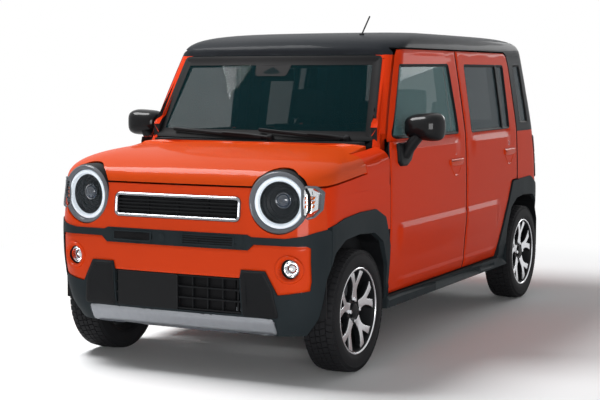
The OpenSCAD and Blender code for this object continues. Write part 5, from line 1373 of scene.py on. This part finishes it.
# %% [markdown]
# Seats
# A seat is foam under a sewn cloth cover. Its block is cut to shape first, then
# Blender's cloth solver blows the cover up a little, so that it crowns in the
# middle and pulls in along its edges. A cap keeps each point near its block, and
# one subdivision smooths the result. The seams come after that.

# %% Padded cover
PRESSURE, FRAMES, QUALITY, VOXEL = 4.0, 12, 4, 0.012
SEAT_SHRINK, SEAT_POWER = 0.012, 5.0


def blocked(sections, half):
    """A closed block through sections of centre, way, reach and share of the half width."""
    rows = []
    for (y, z), (ay, az), reach, width in sections:
        row = []
        for u in around(40):
            a, b = soft_box(u, SEAT_POWER)
            thick = b * (reach - SEAT_SHRINK)
            row.append((a * (half * width - SEAT_SHRINK), y + ay * thick, z + az * thick))
        rows.append(row)
    return Shape().rows(rows, caps=(True, True))


def settled(obj):
    """Turns an object's modifiers into its mesh."""
    mesh = bpy.data.meshes.new_from_object(obj.evaluated_get(bpy.context.evaluated_depsgraph_get()))
    obj.modifiers.clear()
    obj.data = mesh


def swollen(obj, cap):
    """Blows a cover up with the cloth solver. No point moves further than the cap."""
    before = np.array([v.co for v in obj.data.vertices])
    cloth = obj.modifiers.new("cover", "CLOTH")
    cloth.settings.use_pressure, cloth.settings.uniform_pressure_force = True, PRESSURE
    cloth.settings.effector_weights.gravity = 0
    cloth.settings.quality = QUALITY
    for number in range(1, FRAMES + 1):
        bpy.context.scene.frame_set(number)
    settled(obj)
    bpy.context.scene.frame_set(1)
    moved = np.array([v.co for v in obj.data.vertices]) - before
    length = np.linalg.norm(moved, axis=1, keepdims=True) + 1e-9
    obj.data.vertices.foreach_set("co", (before + moved * np.minimum(1, cap / length)).reshape(-1))
    print(obj.name, "swelled up to", round(float(length.max()) / MM, 1), "mm, capped at", round(cap / MM, 1))


def padded_cover(name, shape, x, cap):
    obj = shape.made(name, CLOTH, None, None)
    for v in obj.data.vertices:
        v.co.x += x
    remesh = obj.modifiers.new("even", "REMESH")
    remesh.mode, remesh.voxel_size = "VOXEL", VOXEL
    settled(obj)
    swollen(obj, cap)
    obj.data.materials.clear()
    obj.data.materials.append(CLOTH.material)
    smoother = obj.modifiers.new("smooth", "SUBSURF")
    smoother.levels = smoother.render_levels = 1
    settled(obj)
    obj.data.polygons.foreach_set("use_smooth", [True] * len(obj.data.polygons))
    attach(obj, "body")
    return obj


def leaning(base, lean, low, high, thick, steps=6):
    """Sections of a backrest from its foot to its top."""
    tilt = math.atan(lean)
    sections = []
    for u in np.linspace(0, 1, steps):
        z = low + (high - low) * u
        reach = thick / 2 * (1 - 0.16 * abs(2 * u - 1) ** 3)
        sections.append(((base + lean * (z - low), z), (math.cos(tilt), -math.sin(tilt)), reach,
                         1 - 0.07 * u ** 2))
    return sections


def lying(front, rear, low, high, steps=6):
    """Sections of a cushion from its front edge to its back edge."""
    sections = []
    for u in np.linspace(0, 1, steps):
        reach = (high - low) / 2 * (1 - 0.30 * (1 - u) ** 4 - 0.10 * u ** 6)
        sections.append(((between(front, rear, u), (low + high) / 2), (0, 1), reach, 1 - 0.05 * (1 - u) ** 3))
    return sections


print("seat helpers ready")

# %% Seats
SEAT_X, SEAT_HALF, REST_X = 0.318, 0.235, 0.25
FILL, REST_FILL = 0.75, 0.85
STAND_LAYERS = mm("0 288, 0 415, 10 425")
BENCH_LAYERS = mm("0 288, 0 470, 8 478")
# name, sections, half width, furthest swelling, how full the padding is
FRONT_SEAT = (("cushion", lying(-0.318, 0.096, 0.428, 0.560), SEAT_HALF - 0.008, 0.010, FILL),
              ("back", leaning(0.166, 0.15, 0.585, 1.105, 0.120), SEAT_HALF - 0.010, 0.010, FILL),
              ("headrest", leaning(0.300, 0.12, 1.130, 1.300, 0.100, 5), 0.126, 0.008, REST_FILL))
REST = leaning(1.104, 0.10, 1.088, 1.222, 0.072, 5)
# name, sections, half width, place across, furthest swelling
REAR_SEAT = (("cushion", lying(0.572, 1.000, 0.488, 0.610), 0.478, 0.0, 0.010),
             ("back", leaning(1.046, 0.11, 0.640, 1.052, 0.108), 0.478, 0.0, 0.010),
             ("headrest_left", REST, 0.118, REST_X, 0.006), ("headrest_right", REST, 0.118, -REST_X, 0.006))
seats, upright = [], Matrix.Identity(4)
for side, sign in SIDES.items():
    x = sign * SEAT_X
    for part, sections, half, cap, fill in FRONT_SEAT:
        seats.append(padded_cover(f"front_{part}_{side}", blocked(sections, half), x, cap))
    stand = Shape().slab(oblong(x - 0.19, -0.25, x + 0.19, 0.15, 0.03), STAND_LAYERS, upright)
    for dx in (-0.055, 0.055):
        stand.tube([(x + dx, 0.236, 1.085), (x + dx, 0.300, 1.150)], 0.006)
    stand.made(f"front_seat_stand_{side}", DARK, "body", "dark_trim", ("front_seats",) if sign > 0 else ())
for part, sections, half, x, cap in REAR_SEAT:
    seats.append(padded_cover(f"rear_{part}", blocked(sections, half), x, cap))
bench = Shape().slab(oblong(-0.46, 0.605, 0.46, 0.830, 0.03), BENCH_LAYERS, upright)
for x in (-0.29, -0.21, 0.21, 0.29):
    bench.tube([(x, 1.090, 1.035), (x, 1.104, 1.105)], 0.005)
bench.made("rear_seat_stand", DARK, "body", "dark_trim", ("rear_seat",))
print("seats:", len(seats), "padded covers")

# %% [markdown]
# Seat seams
# Two lines of raised piping run along every cover, and two thinner seams cross each
# cushion and back. They follow the cover: a ray finds it, and a thin tube is laid on
# the places that the rays meet.

# %% Seat seams
SEAM_LIFT, SHORTEST_SEAM, ABOVE, AHEAD = 0.0008, 4, 2.0, -1.0
# whether it runs across the seat, its places as shares of the half size, its reach, points and radius
SEAMS = ((False, (-0.62, 0.62), 0.86, 22, 0.0022), (True, (-0.15, 0.35), 0.60, 24, 0.0018))


def cover_tree(obj):
    return BVHTree.FromPolygons([v.co for v in obj.data.vertices],
                                [list(p.vertices) for p in obj.data.polygons])


def laid_line(tree, places, way):
    """The places where straight rays meet a cover, just above it."""
    hits = [tree.ray_cast(Vector(place), Vector(way)) for place in places]
    return [hit[0] + hit[1] * SEAM_LIFT for hit in hits if hit[0] is not None]


piping = Shape()
for obj in seats:
    tree, box = cover_tree(obj), np.array([Vector(c) for c in obj.bound_box])
    centre, half = (box.min(0) + box.max(0)) / 2, (box.max(0) - box.min(0)) / 2
    flat = "cushion" in obj.name
    for across, shares, reach, count, radius in SEAMS:
        if across and "headrest" in obj.name:
            continue
        for share in shares:
            places = []
            for t in np.linspace(-reach, reach, count):
                x, y, z = centre + half * ([t, share, share] if across else [share, t, t])
                places.append((x, y, ABOVE) if flat else (x, AHEAD, z))
            line = laid_line(tree, places, (0, 0, -1) if flat else (0, 1, 0))
            if len(line) > SHORTEST_SEAM:
                piping.tube(line, radius, 6)
piping.made("seat_piping", DARK, "body", "cloth", smooth=60)
print("seat seams made")

# %% [markdown]
# Cabin trim
# The steering wheel is a padded ring with three spokes. The dashboard from CAD gets
# a screen, vents and a hood over the dials.

# %% Steering wheel and dashboard
WHEEL = axis_place((-0.335, -0.448, 0.930), (0, 0.883, 0.469))
WHEEL_RIM = [(0.178 + 0.0145 * math.cos(a), 0.0165 * math.sin(a)) for a in around(16)]
WHEEL_PAD = rounded(mm("-62 40, 62 40, 50 -45, 0 -62, -50 -45"), 0.022)
PAD_LAYERS = mm("4 -26, 0 4, 4 12, 14 16")
# distance from the hub's middle, half width
SPOKE_FOOT, SPOKE_TIP = (0.045, 0.0208), (0.172, 0.0112)
rim = Shape().turned(WHEEL_RIM, WHEEL, 80)
rim.made("steering_rim", DARK, "steering_wheel", "cabin_plastic", ("steering_wheel",), smooth=60)
hub = Shape().slab(WHEEL_PAD, PAD_LAYERS, WHEEL)
for tip in ((-0.168, 0.018), (0.168, 0.018), (0.0, -0.168)):
    way = np.array(tip) / np.linalg.norm(tip)
    across = np.array([-way[1], way[0]])
    arm = [way * out + across * half * turn for (out, half), turn in (
        (SPOKE_FOOT, -1), (SPOKE_TIP, -1), (SPOKE_TIP, 1), (SPOKE_FOOT, 1))]
    hub.slab(np.array(arm), mm("0 -6, 0 3, 3 6"), WHEEL)
hub.made("steering_hub", CABIN, "steering_wheel", "cabin_plastic")

HOOD = [(-0.47, -0.600, 0.995), (-0.42, -0.590, 1.030), (-0.335, -0.588, 1.040), (-0.25, -0.590, 1.030),
        (-0.20, -0.600, 0.995)]
VENT = oblong(-0.030, -0.022, 0.030, 0.022, 0.006)
VENT_LAYERS = mm("0 -6, 0 4, 3 6, 6 1")
MONITOR = oblong(-0.115, -0.045, 0.115, 0.065, 0.008)
MONITOR_LAYERS = mm("3 -12, 0 4, 2 7, 5 7.5")
dials = Shape().tube(HOOD, 0.022, 12, 0.7)
for x in (-0.545, 0.545, 0.075, -0.075):
    dials.slab(VENT, VENT_LAYERS, axis_place((x, -0.566, 0.905), (0, 1, 0.12)))
dials.made("dashboard_trim", DARK, "body", "cabin_plastic")
monitor = Shape().slab(MONITOR, MONITOR_LAYERS, axis_place((0.0, -0.570, 0.985), (0, 1, 0.10)))
monitor.made("dashboard_screen", GLOSS, "body", "dark_trim")
print("steering wheel and dashboard made")

# %% [markdown]
# Tail
# The photograph doesn't show the tail, so it has only what such a car has there:
# upright lamps in three fields, a wiper, a handle and two reflectors, and no plate.
# The fields are outlines on the body with a dark frame round them.

# %% Tail lamps
LAMP_FIELDS = (("upper", 0.898, 1.004, RED, "red_lens"), ("middle", 0.836, 0.892, LENS, "clear_glass"),
               ("lower", 0.746, 0.830, RED, "red_lens"))
LENS_LAYERS = mm("0 -8, 0 3.5, 1.5 6, 5 7.2, 12 7.6")
LENS_BACK = mm("1.5 -10, 1.5 -4, 4 -3")
LAMP_LINE = dense(oblong(0.632, 0.741, 0.714, 1.009, 0.012), 0.02)
LAMP_FRAME = mm("0 -14, 0 3, 1.5 5, 4 5, 4.8 1, 4.8 -14")
GLINT_LINE = dense(oblong(0.470, 0.440, 0.560, 0.475, 0.006), 0.02)
GLINT_LAYERS = mm("0 -4, 0 2, 1.5 3.5, 4 4")
for side, sign in SIDES.items():
    stuck(f"tail_lamp_frame_{side}", on_side(LAMP_LINE, sign), LOWER_SKIN, "rear", LAMP_FRAME, DARK, "body",
          "dark_trim", ("tail_lamps",), cap=False)
    for name, low, high, finish, slot in LAMP_FIELDS:
        field = on_side(dense(oblong(0.6375, low, 0.7085, high, 0.006), 0.02), sign)
        stuck(f"tail_lens_{name}_{side}", field, LOWER_SKIN, "rear", LENS_LAYERS, finish, "body", slot,
              smooth=60)
        if finish is LENS:
            stuck(f"tail_bowl_{side}", field, LOWER_SKIN, "rear", LENS_BACK, CHROME, "body", "lamp")
    stuck(f"rear_reflector_{side}", on_side(GLINT_LINE, sign), REAR_SKIN, "rear", GLINT_LAYERS, RED, "body",
          "red_lens")
print("tail lamps made")

# %% Tailgate handle and wiper
GARNISH = dense(oblong(-0.170, 0.770, 0.170, 0.822, 0.010), 0.03)
GARNISH_LAYERS = mm("0 -4, 0 6, 3 10, 10 11")
REAR_CAP = mm("0 -6, 22 -6, 20 12, 12 18, 0 19")
stuck("tailgate_handle", GARNISH, LOWER_SKIN, "rear", GARNISH_LAYERS, DARK, "tailgate", "dark_trim",
      smooth=60)
pivot, normal = LOWER_SKIN.seen(0.0, 1.040, "rear")
sweep = [PANE_SKIN.seen(-0.44 * u, 1.105 + 0.012 * u, "rear") for u in np.linspace(0.08, 1, 10)]
rear_wiper = Shape().turned(REAR_CAP, axis_place(pivot, normal), 28)
rear_wiper.tube([pivot + normal * 0.010] + [p + n * 0.020 for p, n in sweep[2:5]],
                [0.009, 0.008, 0.007, 0.006])
rear_wiper.tube([p + n * 0.011 for p, n in sweep], 0.0055, 8, 1.3)
rear_wiper.made("rear_wiper", DARK, "tailgate", "dark_trim")
print("tailgate handle and wiper made")

# %% [markdown]
# CAD pieces that stay
# Exact CAD solids such as the axle, the exhaust and the floor already have the
# right shape. They only need a finish.

# %% Finishes for CAD nodes
STAYS = {DARK: ("grille_slats", "wheel_liners", "fuel_tank", "antenna", "rear_view_mirror"),
         STEEL: ("door_hinges", "rear_axle", "front_subframe", "exhaust", "knuckle_left", "knuckle_right"),
         IRON: ("engine",), CABIN: ("floor_pan", "dashboard")}
for finish, names in STAYS.items():
    for node in names:
        NODES[node].data.materials.clear()
        NODES[node].data.materials.append(finish.material)
print("finished", sum(len(n) for n in STAYS.values()), "CAD nodes")

# %% [markdown]
# Studio
# A pale floor and three soft lights: a key above the car's right side, which throws
# the shadow to its left as in the photograph, a low fill from the front left, and a
# strip behind. The sky is white to the camera and to reflections, and dimmer as a
# lamp. The floor fades into the same white a few metres away, so no horizon shows.

# %% Floor
FLOOR_HALF, FADE_FROM, FADE_TO = 60, 2.4, 4.2
floor_mesh = bpy.data.meshes.new("floor")
corners = ((-1, -1), (1, -1), (1, 1), (-1, 1))
floor_mesh.from_pydata([(x * FLOOR_HALF, y * FLOOR_HALF, 0) for x, y in corners], [], [(0, 1, 2, 3)])
floor = bpy.data.objects.new("floor", floor_mesh)
bpy.context.scene.collection.objects.link(floor)
FLOOR = Finish("pale_floor", Base_Color=linear(244, 245, 246), Roughness=0.85, Specular_IOR_Level=0.2)
away = FLOOR.add("ShaderNodeVectorMath", {"operation": "LENGTH"}, {0: FLOOR.coords()}, "Value")
fade = FLOOR.add("ShaderNodeMapRange", {"interpolation_type": "SMOOTHSTEP"},
                 {"Value": away, "From Min": FADE_FROM, "From Max": FADE_TO})
looked_at = FLOOR.add("ShaderNodeLightPath", output="Is Camera Ray")
mirrored = FLOOR.add("ShaderNodeLightPath", output="Is Glossy Ray")
white = FLOOR.add("ShaderNodeEmission", {}, {"Strength": 1.0})
bare = Value(FLOOR, FLOOR.shader.outputs[0])
surface = FLOOR.add("ShaderNodeMixShader", {}, {0: fade * (looked_at + mirrored), 1: bare, 2: white})
FLOOR.tree.links.new(surface.socket, FLOOR.tree.nodes["Material Output"].inputs["Surface"])
floor_mesh.materials.append(FLOOR.material)
print("floor fades from", FADE_FROM, "to", FADE_TO, "m")

# %% Light and sky
def soft_light(name, place, target, size, power):
    data = bpy.data.lights.new(name, "AREA")
    data.shape, data.size, data.size_y, data.energy = "RECTANGLE", size[0], size[1], power
    light = bpy.data.objects.new(name, data)
    light.location = place
    light.rotation_euler = (Vector(target) - Vector(place)).to_track_quat("-Z", "Y").to_euler()
    bpy.context.scene.collection.objects.link(light)


SKY_LAMP, SKY_SEEN = 0.14, 1.0
soft_light("key", (-3.6, -1.2, 7.2), (0, 0, 0.4), (3.4, 3.4), 740.0)
soft_light("fill", (5.5, -8.5, 1.4), (0, 0, 0.8), (5.0, 2.0), 390.0)
soft_light("strip", (2.0, 8.5, 3.3), (0.7, 0, 0.8), (6.0, 1.4), 170.0)
world = bpy.data.worlds.new("sky")
bpy.context.scene.world = world
world.use_nodes = True
sky = world.node_tree
rays = sky.nodes.new("ShaderNodeLightPath").outputs
direct = rays["Is Camera Ray"]
for ray in ("Is Glossy Ray", "Is Transmission Ray"):
    either = sky.nodes.new("ShaderNodeMath")
    either.operation = "MAXIMUM"
    sky.links.new(direct, either.inputs[0])
    sky.links.new(rays[ray], either.inputs[1])
    direct = either.outputs[0]
level = sky.nodes.new("ShaderNodeMapRange")
level.inputs["To Min"].default_value, level.inputs["To Max"].default_value = SKY_LAMP, SKY_SEEN
sky.links.new(direct, level.inputs["Value"])
sky.nodes["Background"].inputs["Color"].default_value = (1, 1, 1, 1)
sky.links.new(level.outputs[0], sky.nodes["Background"].inputs["Strength"])
print("studio ready")
